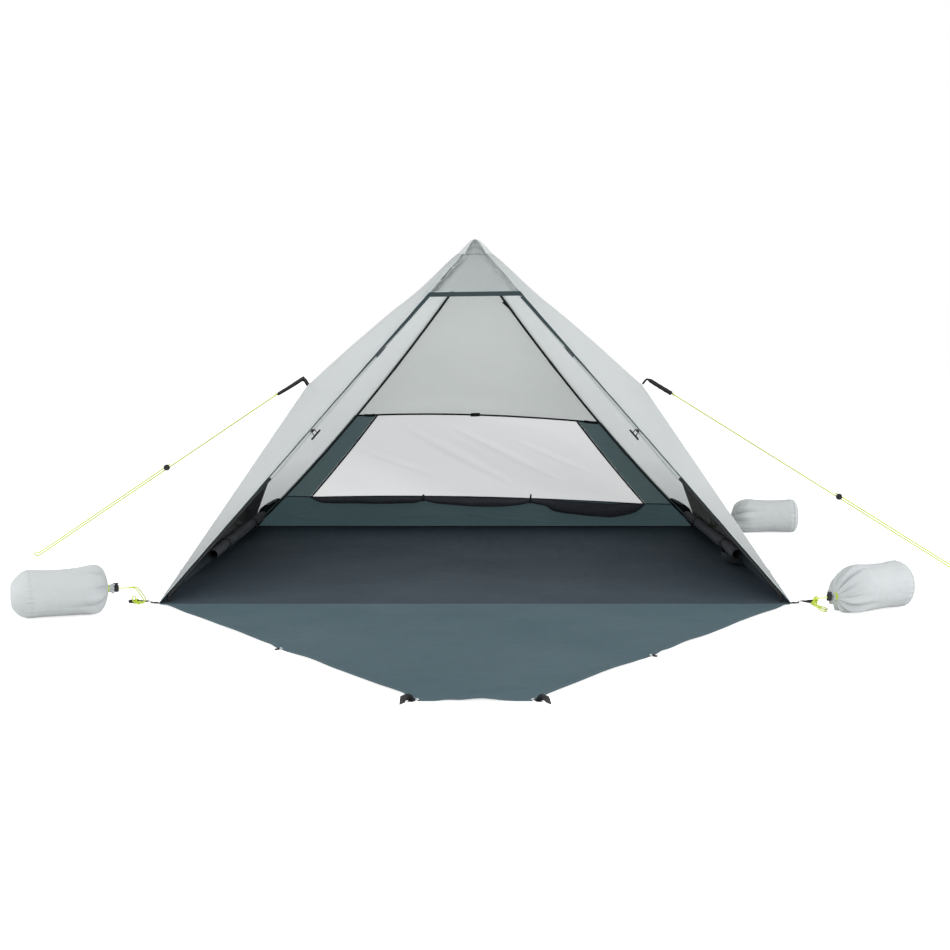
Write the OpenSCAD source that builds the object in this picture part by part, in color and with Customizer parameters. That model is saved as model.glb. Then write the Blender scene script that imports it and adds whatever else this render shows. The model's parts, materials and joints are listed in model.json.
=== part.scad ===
/* [Shelter] */
// Side length of the square floor
base_size = 2100; // [1700:10:2600]
// Height of the peak above the ground
peak_h = 1262; // [1050:2:1500]
// Height of the pull-out point in the middle of each side wall
pull_h = 700; // [600:5:840]
// How far each pull-out point stands out from the plain pyramid face
pull_out = 195; // [120:5:240]
// Thickness of the wall fabric
skin_t = 1.5; // [1:0.1:1.9]
// Thickness of the groundsheet and the door panel
sheet_t = 1.5; // [1:0.1:2]

/* [Front] */
// Height of the lower edge of the visor
visor_h = 1042; // [850:2:1085]
// Height of the dark band along the visor's lower edge
visor_band_h = 18; // [10:1:40]
// Width of the binding along the opening where it meets the visor
binding_top_w = 15; // [8:0.5:24]
// Width of the binding along the opening where it meets the ground
binding_foot_w = 6; // [4:0.5:12]
// Width of the door panel's free edge
door_tip_w = 272; // [160:2:320]

/* [Rear wall] */
// Height of the window's sill
sill_h = 143; // [100:1:200]
// Height of the window's head
head_h = 530; // [420:2:650]
// Width of the strip beside the window at the sill
strip_sill_w = 131; // [80:1:180]
// Width of the strip beside the window at the head
strip_head_w = 96; // [60:1:140]
// Inward bow of the two rear ridges
rear_sag = 40; // [20:1:60]
// Height at which the rear ridges reach the hub
crown_h = 1166; // [1000:2:1190]

/* [Side walls] */
// Height of the ground band along the side walls
side_band_h = 85; // [60:1:110]
// Width of the fabric border beside each mesh window at its sill
mesh_border = 24; // [10:1:60]
// Height of the fabric left above each mesh window, up to the pull-out point
mesh_top_gap = 110; // [60:5:250]
// Diameter of the rolled side window covers
side_roll_d = 40; // [24:1:50]
// Length of the rolled side window covers
side_roll_len = 1330; // [900:10:1500]

/* [Frame] */
// Outside diameter of the poles
pole_d = 9.5; // [7.9:0.1:11]
// Bore of the poles
pole_bore = 5; // [4:0.1:6]
// Wall of the ferrules
ferrule_wall = 0.8; // [0.6:0.1:1]
// Length of the ferrules
ferrule_len = 60; // [40:1:90]
// Diameter of the hub's column
hub_d = 40; // [36:0.5:44]
// Diameter of the shock cord in the poles
shock_d = 2.6; // [2:0.1:3.5]

/* [Rigging] */
// Diameter of the guy lines and bag cords
cord_d = 3; // [2:0.1:4]
// Width of the pull-out straps
strap_w = 20; // [15:1:25]
// Thickness of the webbing
strap_t = 2; // [1.5:0.1:2.5]
// Wire diameter of the rings
ring_wire = 2.4; // [2:0.1:3]
// Inside width of the rings
ring_w = 15; // [12:0.5:20]
// Radius of the peg eyelets in the corner tabs
eyelet_r = 4.5; // [3.5:0.1:5.5]

/* [Sandbags] */
// Diameter of a filled bag
bag_d = 156; // [120:2:190]
// Length of a filled bag from its neck to its bottom
bag_len = 300; // [240:5:360]
// Diameter of the cord lock's barrel
lock_d = 16; // [14:0.5:20]
// Height of the cord lock's barrel
lock_h = 20; // [18:0.5:26]

/* [Hidden] */

half = base_size / 2;
seat_gap = 0.3;
tip_r = 6;
crown_r = 28;
cabin_centre = [0, 0, 350];
skin_scale = 1 - skin_t / 600;
ridge_steps = 6;
outer_light = [0.80, 0.85, 0.84];
inner_light = [0.74, 0.77, 0.76];
teal = [0.24, 0.32, 0.33];
charcoal = [0.14, 0.15, 0.17];
steel = [0.75, 0.76, 0.78];
lime = [0.72, 0.84, 0.18];

// Vectors
function unit(v) = v / norm(v);
function lerp(a, b, t) = a + (b - a) * t;
function side(s, p) = [s * p[0], p[1], p[2]];

// Ridges of the right-hand side, from the ground (t = 0) to the top (t = 1)
front_corner = [half, -half, 0];
rear_corner = [half, half, 0];
crown = [crown_r, crown_r, crown_h];
front_tip = [tip_r, -tip_r, peak_h];
rear_tip = [tip_r, tip_r, peak_h];
side_tip = [tip_r, 0, peak_h];
pull_point = [half * (1 - pull_h / peak_h) + pull_out, 0, pull_h];
rear_angle = atan2(crown_h, (half - crown_r) * sqrt(2));
rear_inward = [-sin(rear_angle) / sqrt(2), -sin(rear_angle) / sqrt(2), -cos(rear_angle)];
function front_ridge(t) = lerp(front_corner, front_tip, t);
function rear_ridge(u) = lerp(rear_corner, crown, u) + rear_inward * 4 * rear_sag * u * (1 - u);

// Share of a ridge that lies under a given height
bow = 4 * rear_sag * cos(rear_angle);
function rear_share(z) = (sqrt(pow(crown_h - bow, 2) + 4 * bow * z) - crown_h + bow) / (2 * bow);
function rear_at(z) = rear_ridge(rear_share(z));
function front_at(z) = front_ridge(z / peak_h);

// Edges of the rear window, which narrows towards its head
function strip_w(z) = lerp(strip_sill_w, strip_head_w, (z - sill_h) / (head_h - sill_h));
function window_edge(z) = rear_at(z) - [strip_w(z), 0, 0];

// A thin slab from a list of points, its faces, and the loop of points round its edge. The
// inner face is the outer one drawn in towards the middle of the cabin, so slabs that share
// an edge meet face to face in a mitre.
module slab(pts, faces, loop) {
    n = len(pts);
    first = faces[0];
    normal = cross(pts[first[1]] - pts[first[0]], pts[first[2]] - pts[first[0]]);
    outward = normal * (pts[first[0]] - cabin_centre) > 0;
    m = len(loop);
    all_faces = concat(faces,
        [for (f = faces) [for (k = [len(f) - 1 : -1 : 0]) f[k] + n]],
        [for (i = [0 : m - 1]) let (j = (i + 1) % m) [loop[i] + n, loop[j] + n, loop[j], loop[i]]]);
    inner = [for (p = pts) cabin_centre + (p - cabin_centre) * skin_scale];
    polyhedron(concat(pts, inner),
        outward ? [for (f = all_faces) [for (k = [len(f) - 1 : -1 : 0]) f[k]]] : all_faces);
}

// A slab between two edges with as many points each
module strip_slab(a, b) {
    n = len(a);
    tris = [for (i = [0 : n - 2]) each [[i, n + i, n + i + 1], [i, n + i + 1, i + 1]]];
    loop = concat([0], [for (i = [0 : n - 1]) n + i], [for (i = [n - 1 : -1 : 1]) i]);
    slab(concat(a, b), tris, loop);
}

// A slab that fans out from its first point
module fan_slab(pts) {
    n = len(pts);
    slab(pts, [for (i = [1 : n - 2]) [0, i, i + 1]], [for (i = [0 : n - 1]) i]);
}

// Puts an object that is built along X at a point, with X along one direction and Z near another
module place(at, x_dir, z_near = [0, 0, 1]) {
    x = unit(x_dir);
    y = unit(cross(z_near, x));
    z = cross(x, y);
    multmatrix([[x[0], y[0], z[0], at[0]], [x[1], y[1], z[1], at[1]], [x[2], y[2], z[2], at[2]]])
        children();
}

module both_sides() {
    children();
    mirror([1, 0, 0]) children();
}

module rod(d, from_x, to_x) {
    translate([from_x, 0, 0]) rotate([0, 90, 0]) cylinder(d = d, h = to_x - from_x, $fn = 32);
}

// ---- Canopy ----

module visor_panel() color([0.68, 0.71, 0.71])
    strip_slab([side(-1, front_at(visor_h + visor_band_h)), side(-1, front_tip)],
        [front_at(visor_h + visor_band_h), front_tip]);

// Dark band under the visor and the tapering bindings down both edges of the opening
module opening_binding() color(teal) {
    low = front_at(visor_h);
    high = front_at(visor_h + visor_band_h);
    strip_slab([side(-1, low), side(-1, high)], [low, high]);
    foot = front_at(sheet_t + seat_gap);
    both_sides()
        strip_slab([foot - [binding_foot_w, 0, 0], low - [binding_top_w, 0, 0]], [foot, low]);
}

module front_side_panel() color(outer_light)
    fan_slab([pull_point, front_corner, front_tip, side_tip]);
module front_right_panel() front_side_panel();
module front_left_panel() mirror([1, 0, 0]) front_side_panel();

rear_edge = [for (i = [0 : ridge_steps]) rear_ridge(i / ridge_steps)];
module rear_side_panel() color(outer_light)
    fan_slab(concat([pull_point, side_tip, rear_tip],
        [for (i = [ridge_steps : -1 : 0]) rear_edge[i]]));
module rear_right_panel() rear_side_panel();
module rear_left_panel() mirror([1, 0, 0]) rear_side_panel();

// The lower side wall is a triangle that leans in, with a mesh triangle in a fabric border
band_front = lerp(front_corner, pull_point, side_band_h / pull_h);
band_rear = lerp(rear_corner, pull_point, side_band_h / pull_h);
mesh_top = lerp([half, 0, 0], pull_point, 1 - mesh_top_gap / pull_h);
mesh_front = band_front + [0, mesh_border, 0];
mesh_rear = band_rear - [0, mesh_border, 0];
module side_lower_panels() color(outer_light) both_sides() {
    fan_slab([band_front, mesh_front, mesh_top, pull_point]);
    fan_slab([band_rear, mesh_rear, mesh_top, pull_point]);
}
module side_mesh_windows() color(charcoal) both_sides()
    fan_slab([mesh_front, mesh_rear, mesh_top]);

sill_us = [0, rear_share(sill_h) / 2, rear_share(sill_h)];
module ground_bands() color(teal) {
    strip_slab([for (u = sill_us) side(-1, rear_ridge(u))], [for (u = sill_us) rear_ridge(u)]);
    both_sides() fan_slab([front_corner, band_front, band_rear, rear_corner]);
}

window_zs = [sill_h, lerp(sill_h, head_h, 0.5), head_h];
module window_side_strips() color(teal) both_sides()
    strip_slab([for (z = window_zs) window_edge(z)], [for (z = window_zs) rear_at(z)]);
module rear_window_film() color([0.84, 0.87, 0.88])
    strip_slab([for (z = window_zs) side(-1, window_edge(z))], [for (z = window_zs) window_edge(z)]);

upper_zs = [for (i = [0 : 3]) lerp(head_h, crown_h, i / 3)];
upper_edge = concat([for (z = upper_zs) rear_at(z)], [rear_tip]);
module rear_upper_panel() color(inner_light)
    strip_slab([for (p = upper_edge) side(-1, p)], upper_edge);

// Inside faces of the rear wall, a gap away from the fabric
function inside(p, depth) = cabin_centre + (p - cabin_centre) * (skin_scale - depth / 600);

// Binding along the window's head, with a pull tab in the middle
module window_head_binding() color(charcoal) {
    low = inside(rear_at(head_h - 8), 0.6);
    high = inside(rear_at(head_h + 4), 0.6);
    reach = pole_inset + pole_d;
    strip_slab([side(-1, low) + [reach, 0, 0], side(-1, high) + [reach, 0, 0]],
        [low - [reach, 0, 0], high - [reach, 0, 0]]);
    tab_low = inside(rear_at(head_h - 14), 2.8);
    tab_high = inside(rear_at(head_h + 8), 2.8);
    strip_slab([[-20, tab_low[1], tab_low[2]], [-20, tab_high[1], tab_high[2]]],
        [[20, tab_low[1], tab_low[2]], [20, tab_high[1], tab_high[2]]]);
}

// The window cover is rolled down to the sill and hangs in three swags between its ties
window_roll_d = 44;
roll_end_d = 26;
roll_tie_r = roll_end_d / 2 + 0.8 + 1.6;
band_low = rear_ridge(sill_us[1]);
band_high = rear_ridge(sill_us[2]);
band_inward = unit(cross([0, band_high[1] - band_low[1], band_high[2] - band_low[2]], [1, 0, 0]));
roll_contact = lerp(band_low, band_high, 0.82);
roll_axis = cabin_centre + (roll_contact - cabin_centre) * skin_scale
    - band_inward * (roll_tie_r + seat_gap);
swag_back = 12;
cover_tie_xs = [-237, 253];
roll_ends = [-690, 700];
swag_mids = [-465, 8, 490];
swag_drops = [26, 20, 40];
module window_cover_roll() color(charcoal) {
    xs = [roll_ends[0], cover_tie_xs[0], cover_tie_xs[1], roll_ends[1]];
    for (i = [0 : 2]) {
        start = [xs[i] + 4, roll_axis[1], roll_axis[2]];
        low = [swag_mids[i], roll_axis[1] - swag_back, roll_axis[2] - swag_drops[i]];
        finish = [xs[i + 1] - 4, roll_axis[1], roll_axis[2]];
        hull() {
            translate(start) sphere(d = roll_end_d, $fn = 16);
            translate(low) sphere(d = window_roll_d, $fn = 20);
            translate(finish) sphere(d = roll_end_d, $fn = 16);
        }
    }
}

// Inner face of the right-hand lower wall at a height
wall_lean = (half - pull_point[0]) / pull_h;
wall_tilt = atan(wall_lean);
wall_t = (half - wall_lean * cabin_centre[2]) * (1 - skin_scale);
function wall_x(z) = half - wall_lean * z - wall_t;

// The side window covers are rolled along the top of the ground bands, inside their ties
tie_t = 1.6;
tie_slack = 0.4;
side_roll_z = side_band_h - 4;
side_tie_r = side_roll_d / 2 + tie_slack + tie_t;
side_roll_x = wall_x(side_roll_z) - (side_tie_r + seat_gap) / cos(wall_tilt);
side_roll_end = half - 150;
module side_cover_rolls() color(charcoal) both_sides()
    translate([side_roll_x, side_roll_end, side_roll_z]) rotate([90, 0, 0]) difference() {
        cylinder(d = side_roll_d, h = side_roll_len, $fn = 40);
        translate([0, 0, side_roll_len - 60]) cylinder(d = side_roll_d * 0.45, h = 61, $fn = 32);
    }

// Straps round the rolls
side_tie_ys = [half - 480, half - 1180];
module cover_ties() color(charcoal) {
    for (x = cover_tie_xs) translate([x, roll_axis[1], roll_axis[2]]) rotate([0, 90, 0])
        translate([0, 0, -6]) difference() {
            cylinder(r = roll_tie_r, h = 12, $fn = 40);
            translate([0, 0, -1]) cylinder(r = roll_tie_r - tie_t, h = 14, $fn = 40);
        }
    both_sides() for (y = side_tie_ys) translate([side_roll_x, y, side_roll_z])
        rotate([90, 0, 0]) difference() {
            cylinder(r = side_tie_r, h = 15, $fn = 48);
            translate([0, 0, -1]) cylinder(r = side_tie_r - tie_t, h = 17, $fn = 48);
        }
}

// Open pouch on the right-hand wall, below the roll
pouch_y = -150;
pouch_w = 150;
pouch_h = 52;
pouch_depth = 46;
module pouch_profile(wall, top) {
    foot = sheet_t + seat_gap + wall;
    polygon([[wall_x(foot) - seat_gap - wall, foot], [wall_x(foot) - pouch_depth + wall, foot],
        [wall_x(top) - pouch_depth + wall, top], [wall_x(top) - seat_gap - wall, top]]);
}
module storage_pouch() color(teal) difference() {
    translate([0, pouch_y + pouch_w / 2, 0]) rotate([90, 0, 0]) linear_extrude(pouch_w)
        pouch_profile(0, pouch_h);
    translate([0, pouch_y + pouch_w / 2 - 3, 0]) rotate([90, 0, 0]) linear_extrude(pouch_w - 6)
        pouch_profile(3, pouch_h + 10);
}

// ---- Floor and door ----

hinge_y = -half - 6;
floor_inset = 3.6;
module groundsheet() color([0.22, 0.26, 0.28])
    translate([-half + floor_inset, hinge_y + seat_gap, 0])
        cube([base_size - 2 * floor_inset, half - floor_inset - hinge_y - seat_gap, sheet_t]);

// The door panel is the size of the opening, and lies on the ground in front of it
door_len = norm([0, half + front_at(visor_h)[1], visor_h]) + 6;
module door_panel() color([0.33, 0.40, 0.43]) linear_extrude(sheet_t)
    polygon([[-half + 4, hinge_y], [half - 4, hinge_y], [door_tip_w / 2, hinge_y - door_len],
        [-door_tip_w / 2, hinge_y - door_len]]);

// D-shaped ring: its bar lies along Y at the origin and its bow reaches along +X
module d_ring() {
    r = ring_w / 2;
    rotate([90, 0, 0]) cylinder(d = ring_wire, h = 2 * r, center = true, $fn = 24);
    for (s = [-1, 1]) translate([0, s * r, 0]) {
        sphere(d = ring_wire, $fn = 24);
        rotate([0, 90, 0]) cylinder(d = ring_wire, h = 3, $fn = 24);
    }
    translate([3, 0, 0]) rotate([0, 0, -90]) rotate_extrude(angle = 180, $fn = 48)
        translate([r, 0]) circle(d = ring_wire, $fn = 24);
}

// Webbing tab that lies along +X and ends in an eye round the ring's bar
eye_w = ring_w - ring_wire - 1.6;
eye_bore = ring_wire + 0.7;
eye_d = eye_bore + 2 * 1.4;
module webbing_tab(tab_len, tab_w) difference() {
    union() {
        translate([0, -tab_w / 2, 0]) cube([tab_len - eye_d * 1.2, tab_w, strap_t]);
        translate([tab_len - eye_d * 1.2 - 0.01, -eye_w / 2, 0]) cube([eye_d * 1.2, eye_w, strap_t]);
        translate([tab_len, 0, eye_d / 2]) rotate([90, 0, 0])
            cylinder(d = eye_d, h = eye_w, center = true, $fn = 32);
    }
    translate([tab_len, 0, eye_d / 2]) rotate([90, 0, 0])
        cylinder(d = eye_bore, h = eye_w + 2, center = true, $fn = 32);
}

// Tab at the door's edge: an eye for a ring that lies on the panel, and a tail that points
// outwards, widens to tail_w and is no wider than the ring's inside next to the eye
door_eye_x = eye_d / 2 + 0.2;
module door_tab(tail_len, tail_w) difference() {
    union() {
        linear_extrude(strap_t) polygon([[0, -eye_w / 2], [door_eye_x + 3, -eye_w / 2],
            [door_eye_x + 5, -tail_w / 2], [tail_len, -tail_w / 2], [tail_len, tail_w / 2],
            [door_eye_x + 5, tail_w / 2], [door_eye_x + 3, eye_w / 2], [0, eye_w / 2]]);
        translate([door_eye_x, 0, eye_d / 2]) rotate([90, 0, 0])
            cylinder(d = eye_d, h = eye_w, center = true, $fn = 32);
    }
    translate([door_eye_x, 0, eye_d / 2]) rotate([90, 0, 0])
        cylinder(d = eye_bore, h = eye_w + 2, center = true, $fn = 32);
}

// Places of the door's four rings: [point on the edge, direction outwards in degrees]
function door_edge(t) = [lerp(half - 4, door_tip_w / 2, t), hinge_y - door_len * t];
door_slope = atan2(half - 4 - door_tip_w / 2, door_len);
left_ring_share = 0.545;
right_ring_share = 0.612;
edge_tail_len = 12;
tip_tail_len = 40;
tip_tail_w = 22;
tip_share = 0.992;
module at_right_edge(t) translate([door_edge(t)[0], door_edge(t)[1], 0])
    rotate([0, 0, -door_slope]) translate([seat_gap, 0, 0]) children();
module door_ring() translate([door_eye_x, 0, eye_d / 2]) rotate([0, 0, 180]) d_ring();
module door_tabs() color(charcoal) {
    at_right_edge(right_ring_share) door_tab(edge_tail_len, 16);
    mirror([1, 0, 0]) at_right_edge(left_ring_share) door_tab(edge_tail_len, 16);
    both_sides() at_right_edge(tip_share) door_tab(tip_tail_len, tip_tail_w);
}
module right_edge_ring() color(steel) at_right_edge(right_ring_share) door_ring();
module left_edge_ring() color(steel) mirror([1, 0, 0]) at_right_edge(left_ring_share) door_ring();
module right_tip_ring() color(steel) at_right_edge(tip_share) door_ring();
module left_tip_ring() mirror([1, 0, 0]) right_tip_ring();

// ---- Corners ----

// Every corner has a tab with a peg eyelet and a ring. Front and rear differ in the sign of y.
tab_len = 26;
tab_w = 22;
tab_y = half - 13;
eyelet_x = 9.5;
ring_tilt = 25;
module at_corner(s, f) translate([s * (half + 0.4), f * tab_y, 0]) rotate([0, 0, s > 0 ? 0 : 180])
    children();
module each_corner() for (s = [-1, 1]) for (f = [-1, 1]) at_corner(s, f) children();

// Loop for a toggle, sewn under the binding on the edge of the opening
toggle_h = 549;
toggle_bar_d = 7;
toggle_bar_len = 46;
toggle_pin_d = 2.2;
toggle_reach = 19;
toggle_eye_len = 12;
edge_dir = unit(front_tip - front_corner);
front_normal = unit(cross([1, 0, 0], edge_dir));
binding_w = lerp(binding_foot_w, binding_top_w, toggle_h / visor_h);
toggle_eye = front_at(toggle_h) - [binding_w + 4.3, 0, 0] - front_normal * 1.2;
hang_dir = unit([0, 0, -1] + edge_dir * edge_dir[2]);
module at_toggle() place(toggle_eye, edge_dir, front_normal) children();
module toggle_loop() at_toggle() difference() {
    union() {
        rotate([0, 90, 0]) cylinder(d = 5.4, h = toggle_eye_len, center = true, $fn = 32);
        translate([-toggle_eye_len / 2, -9, -2.1]) cube([toggle_eye_len, 7.6, 1.4]);
    }
    rotate([0, 90, 0]) cylinder(d = toggle_pin_d + 0.6, h = 20, center = true, $fn = 32);
}

module webbing_loops() color(charcoal) {
    each_corner() difference() {
        webbing_tab(tab_len, tab_w);
        translate([eyelet_x, 0, -1]) cylinder(r = eyelet_r, h = strap_t + 2, $fn = 40);
    }
    both_sides() toggle_loop();
}
module corner_rings() color(steel)
    each_corner() translate([tab_len, 0, eye_d / 2]) rotate([0, -ring_tilt, 0]) d_ring();

// H-shaped toggle that hangs from its loop
module toggle() color(charcoal) place(toggle_eye, edge_dir, hang_dir) {
    rotate([0, 90, 0]) cylinder(d = toggle_pin_d, h = toggle_eye_len + 6, center = true, $fn = 24);
    for (e = [-1, 1]) translate([e * (toggle_eye_len / 2 + 2.2), 0, 0])
        cylinder(d = 3, h = toggle_reach, $fn = 24);
    translate([0, 0, toggle_reach]) rotate([0, 90, 0])
        cylinder(d = toggle_bar_d, h = toggle_bar_len, center = true, $fn = 32);
    for (e = [-1, 1]) translate([e * toggle_bar_len / 2, 0, toggle_reach])
        sphere(d = toggle_bar_d, $fn = 32);
}
module right_toggle() toggle();
module left_toggle() mirror([1, 0, 0]) toggle();

// ---- Frame ----

// Pole axes run inside the ridges, in the middle of the angle between the panels that meet there
pole_inset = 10.5;
front_side_normal = unit(cross(pull_point - front_corner, edge_dir));
rear_chord = unit(crown - rear_corner);
rear_normal = unit(cross(rear_chord, [1, 0, 0]));
rear_side_normal = unit(cross(rear_chord, pull_point - rear_corner));
front_offset = -unit(front_normal + front_side_normal) * pole_inset;
rear_offset = -unit(rear_normal + rear_side_normal) * pole_inset;
pole_start = 70;
front_len = norm(front_tip - front_corner);
front_end = 0.978 * front_len;
front_origin = front_corner + front_offset;

// The rear poles are arcs: centre, radius and the angle per millimetre along the axis
chord_len = norm(crown - rear_corner);
arc_r = chord_len * chord_len / (8 * rear_sag) + rear_sag / 2;
arc_half = asin(chord_len / 2 / arc_r);
arc_centre = (rear_corner + crown) / 2 + rear_offset + rear_inward * (rear_sag - arc_r);
deg_per_mm = 180 / (PI * arc_r);
rear_end = chord_len + 22;
function arc_angle(along) = along * deg_per_mm - arc_half;
function arc_point(along) = arc_centre + arc_r * (cos(arc_angle(along)) * rear_inward
    + sin(arc_angle(along)) * rear_chord);
function arc_dir(along) = -sin(arc_angle(along)) * rear_inward + cos(arc_angle(along)) * rear_chord;

module front_tube(od, id, from, to) place(front_origin, edge_dir)
    translate([from, 0, 0]) rotate([0, 90, 0]) difference() {
        cylinder(d = od, h = to - from, $fn = 32);
        translate([0, 0, -1]) cylinder(d = id, h = to - from + 2, $fn = 32);
    }
module rear_tube(od, id, from, to) place(arc_centre, rear_inward, cross(rear_inward, rear_chord))
    rotate([0, 0, arc_angle(from)])
        rotate_extrude(angle = (to - from) * deg_per_mm, $fn = 1080) translate([arc_r, 0])
            difference() {
                circle(d = od, $fn = 32);
                circle(d = id, $fn = 32);
            }

// Three sections a pole, with a ferrule over each joint
function joint_at(last, i) = lerp(pole_start, last, i / 3);
module front_pole() color(charcoal) for (i = [0 : 2])
    front_tube(pole_d, pole_bore, joint_at(front_end, i) + 0.2, joint_at(front_end, i + 1) - 0.2);
module rear_pole() color(charcoal) for (i = [0 : 2])
    rear_tube(pole_d, pole_bore, joint_at(rear_end, i) + 0.2, joint_at(rear_end, i + 1) - 0.2);
module front_right_pole() front_pole();
module front_left_pole() mirror([1, 0, 0]) front_pole();
module rear_right_pole() rear_pole();
module rear_left_pole() mirror([1, 0, 0]) rear_pole();

ferrule_bore = pole_d + 0.2;
ferrule_d = ferrule_bore + 2 * ferrule_wall;
module pole_ferrules() color(steel) both_sides() for (i = [1, 2]) {
    front_tube(ferrule_d, ferrule_bore, joint_at(front_end, i) - ferrule_len / 2,
        joint_at(front_end, i) + ferrule_len / 2);
    rear_tube(ferrule_d, ferrule_bore, joint_at(rear_end, i) - ferrule_len / 2,
        joint_at(rear_end, i) + ferrule_len / 2);
}
module pole_shock_cords() color([0.85, 0.86, 0.86]) both_sides() {
    front_tube(shock_d, 0.4, pole_start + 20.5, front_end - 6);
    rear_tube(shock_d, 0.4, pole_start + 20.5, rear_end - 6);
}

// Stepped tips plug the poles' lower ends and stand in cups on the groundsheet
tip_pin_len = 18;
module foot_tip() {
    rod(pole_bore - 0.2, 0, 20);
    rod(pole_d, -3, 0);
    rod(5, -3 - tip_pin_len, -3);
    translate([-3 - tip_pin_len, 0, 0]) sphere(d = 5, $fn = 32);
}
module pole_tips() color([0.30, 0.31, 0.32]) both_sides() {
    place(front_origin + edge_dir * pole_start, edge_dir) foot_tip();
    place(arc_point(pole_start), arc_dir(pole_start)) foot_tip();
}
cup_d = 14;
cup_bottom = -27;
module foot_cup(at, dir) {
    bottom = at + dir * (cup_bottom + 4);
    difference() {
        union() {
            place(at, dir) rod(cup_d, cup_bottom, 18);
            translate([bottom[0], bottom[1], sheet_t + seat_gap])
                cylinder(d = 12, h = bottom[2] - sheet_t - seat_gap, $fn = 32);
        }
        place(at, dir) rod(pole_d + 0.5, -3.3, 19);
        place(at, dir) rod(5.6, -3.5 - tip_pin_len - 2.6, 0);
    }
}
module corner_cups() color(charcoal) both_sides() {
    foot_cup(front_origin + edge_dir * pole_start, edge_dir);
    foot_cup(arc_point(pole_start), arc_dir(pole_start));
}

// Hub at the peak: a column with a socket for each pole
column_low = crown_h - 46;
socket_d = 14.6;
socket_bore = pole_d + 0.3;
module at_front_end() place(front_origin + edge_dir * front_end, edge_dir) children();
module at_rear_end() place(arc_point(rear_end), arc_dir(rear_end)) children();
module peak_hub() color(charcoal) difference() {
    union() {
        translate([0, 0, column_low]) cylinder(d = hub_d, h = crown_h - column_low, $fn = 64);
        translate([0, 0, column_low - 6]) cylinder(d1 = hub_d - 14, d2 = hub_d, h = 6, $fn = 64);
        translate([0, 0, crown_h]) cylinder(d1 = hub_d, d2 = 16, h = 56, $fn = 64);
        translate([0, 0, crown_h + 56]) cylinder(d1 = 16, d2 = 10, h = peak_h - crown_h - 72, $fn = 48);
        both_sides() at_front_end() rod(socket_d, -32, 28);
        both_sides() at_rear_end() rod(socket_d, -34, 8);
    }
    both_sides() at_front_end() rod(socket_bore, -40, 0.3);
    both_sides() at_rear_end() rod(socket_bore, -40, 0.3);
    translate([0, 0, column_low - 7]) cylinder(d = hub_d - 20, h = 30, $fn = 48);
}

// Fabric cap over the peak, a small gap outside the wall panels
cap_drop = 26;
function rise_to(from, to, z) = lerp(from, to, (z - from[2]) / (to[2] - from[2]));
function peak_ring(z) = [front_at(z), rise_to(pull_point, front_tip, z),
    rise_to(pull_point, side_tip, z), rise_to(pull_point, rear_tip, z), rise_to(crown, rear_tip, z)];
module cap_hull(grow, low) hull() both_sides() {
    for (p = concat(peak_ring(low), peak_ring(peak_h)))
        translate(cabin_centre + (p - cabin_centre) * grow) cube(0.02, center = true);
}
module peak_cap() color(outer_light) difference() {
    cap_hull(1.0028, peak_h - cap_drop);
    cap_hull(1.0008, peak_h - cap_drop - 4);
}

// ---- Rigging ----

// Tube with eight sides swept along a route; ref is a direction that the route never takes
module cord_tube(route, d, ref) {
    n = len(route);
    sides = 8;
    rings = [for (i = [0 : n - 1])
        let (t = i == 0 ? unit(route[1] - route[0])
            : i == n - 1 ? unit(route[n - 1] - route[n - 2])
            : unit(unit(route[i + 1] - route[i]) + unit(route[i] - route[i - 1])),
            u = unit(cross(ref, t)), v = cross(t, u))
        for (k = [0 : sides - 1]) route[i] + d / 2 * (cos(k * 360 / sides) * u
            + sin(k * 360 / sides) * v)];
    walls = [for (i = [0 : n - 2]) for (k = [0 : sides - 1]) let (m = (k + 1) % sides)
        [i * sides + k, (i + 1) * sides + k, (i + 1) * sides + m, i * sides + m]];
    polyhedron(rings, concat(walls, [[for (k = [0 : sides - 1]) k]],
        [[for (k = [sides - 1 : -1 : 0]) (n - 1) * sides + k]]));
}

// Folded webbing straps that carry the pull-out points
strap_root = [[0.2, 0.35], [3, -4.6]];
strap_rise = [20, 26];
strap_drop = [122, -32];
module pull_strap() translate([pull_point[0] + 0.5, strap_w / 2, pull_h]) rotate([90, 0, 0])
    linear_extrude(strap_w) polygon([strap_root[0], [strap_rise[0], strap_rise[1]],
        [strap_drop[0], strap_drop[1]], [strap_drop[0] - 3, strap_drop[1] - 9],
        [strap_rise[0], strap_rise[1] - 9], strap_root[1]]);
module pull_out_straps() color(charcoal) both_sides() pull_strap();

// Routes of the guy lines: down from the strap, round the peg, and back up to the slider. Each
// point is measured outwards from the pull-out point, and its height is at the usual pull_h.
strap_end_h = 663;
strap_end_drop = 37;
function guy_route(s, points) = [for (p = points)
    [s * (pull_point[0] + p[0]), p[1], p[2] * (pull_h - strap_end_drop) / strap_end_h]];
left_guy_route = guy_route(-1, [
    [121.4, 0, 663], [367.4, 19, 499], [613.4, 38, 335], [859.4, 57, 171], [1105.4, 76, 7],
    [1113.4, 77, 3], [1122.4, 77, 2], [1129.4, 78, 6], [1128.4, 77, 13], [1120.4, 77, 17],
    [1110.4, 76, 14], [864.4, 57, 178], [618.4, 38, 342], [564.4, 34, 378]]);
right_guy_route = guy_route(1, [
    [121.4, 0, 663], [378.4, -74, 500], [635.4, -148, 337], [892.4, -222, 174], [1149.4, -296, 11],
    [1157.4, -298, 5], [1166.4, -300, 2], [1175.4, -302, 4], [1178.4, -303, 11],
    [1173.4, -302, 18], [1163.4, -299, 22], [1153.4, -297, 19], [896.4, -223, 182],
    [737.4, -177, 283]]);
module left_guy_line() color(lime) cord_tube(left_guy_route, cord_d, [0, 1, 0]);
module right_guy_line() color(lime) cord_tube(right_guy_route, cord_d, [0, 1, 0]);

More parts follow.
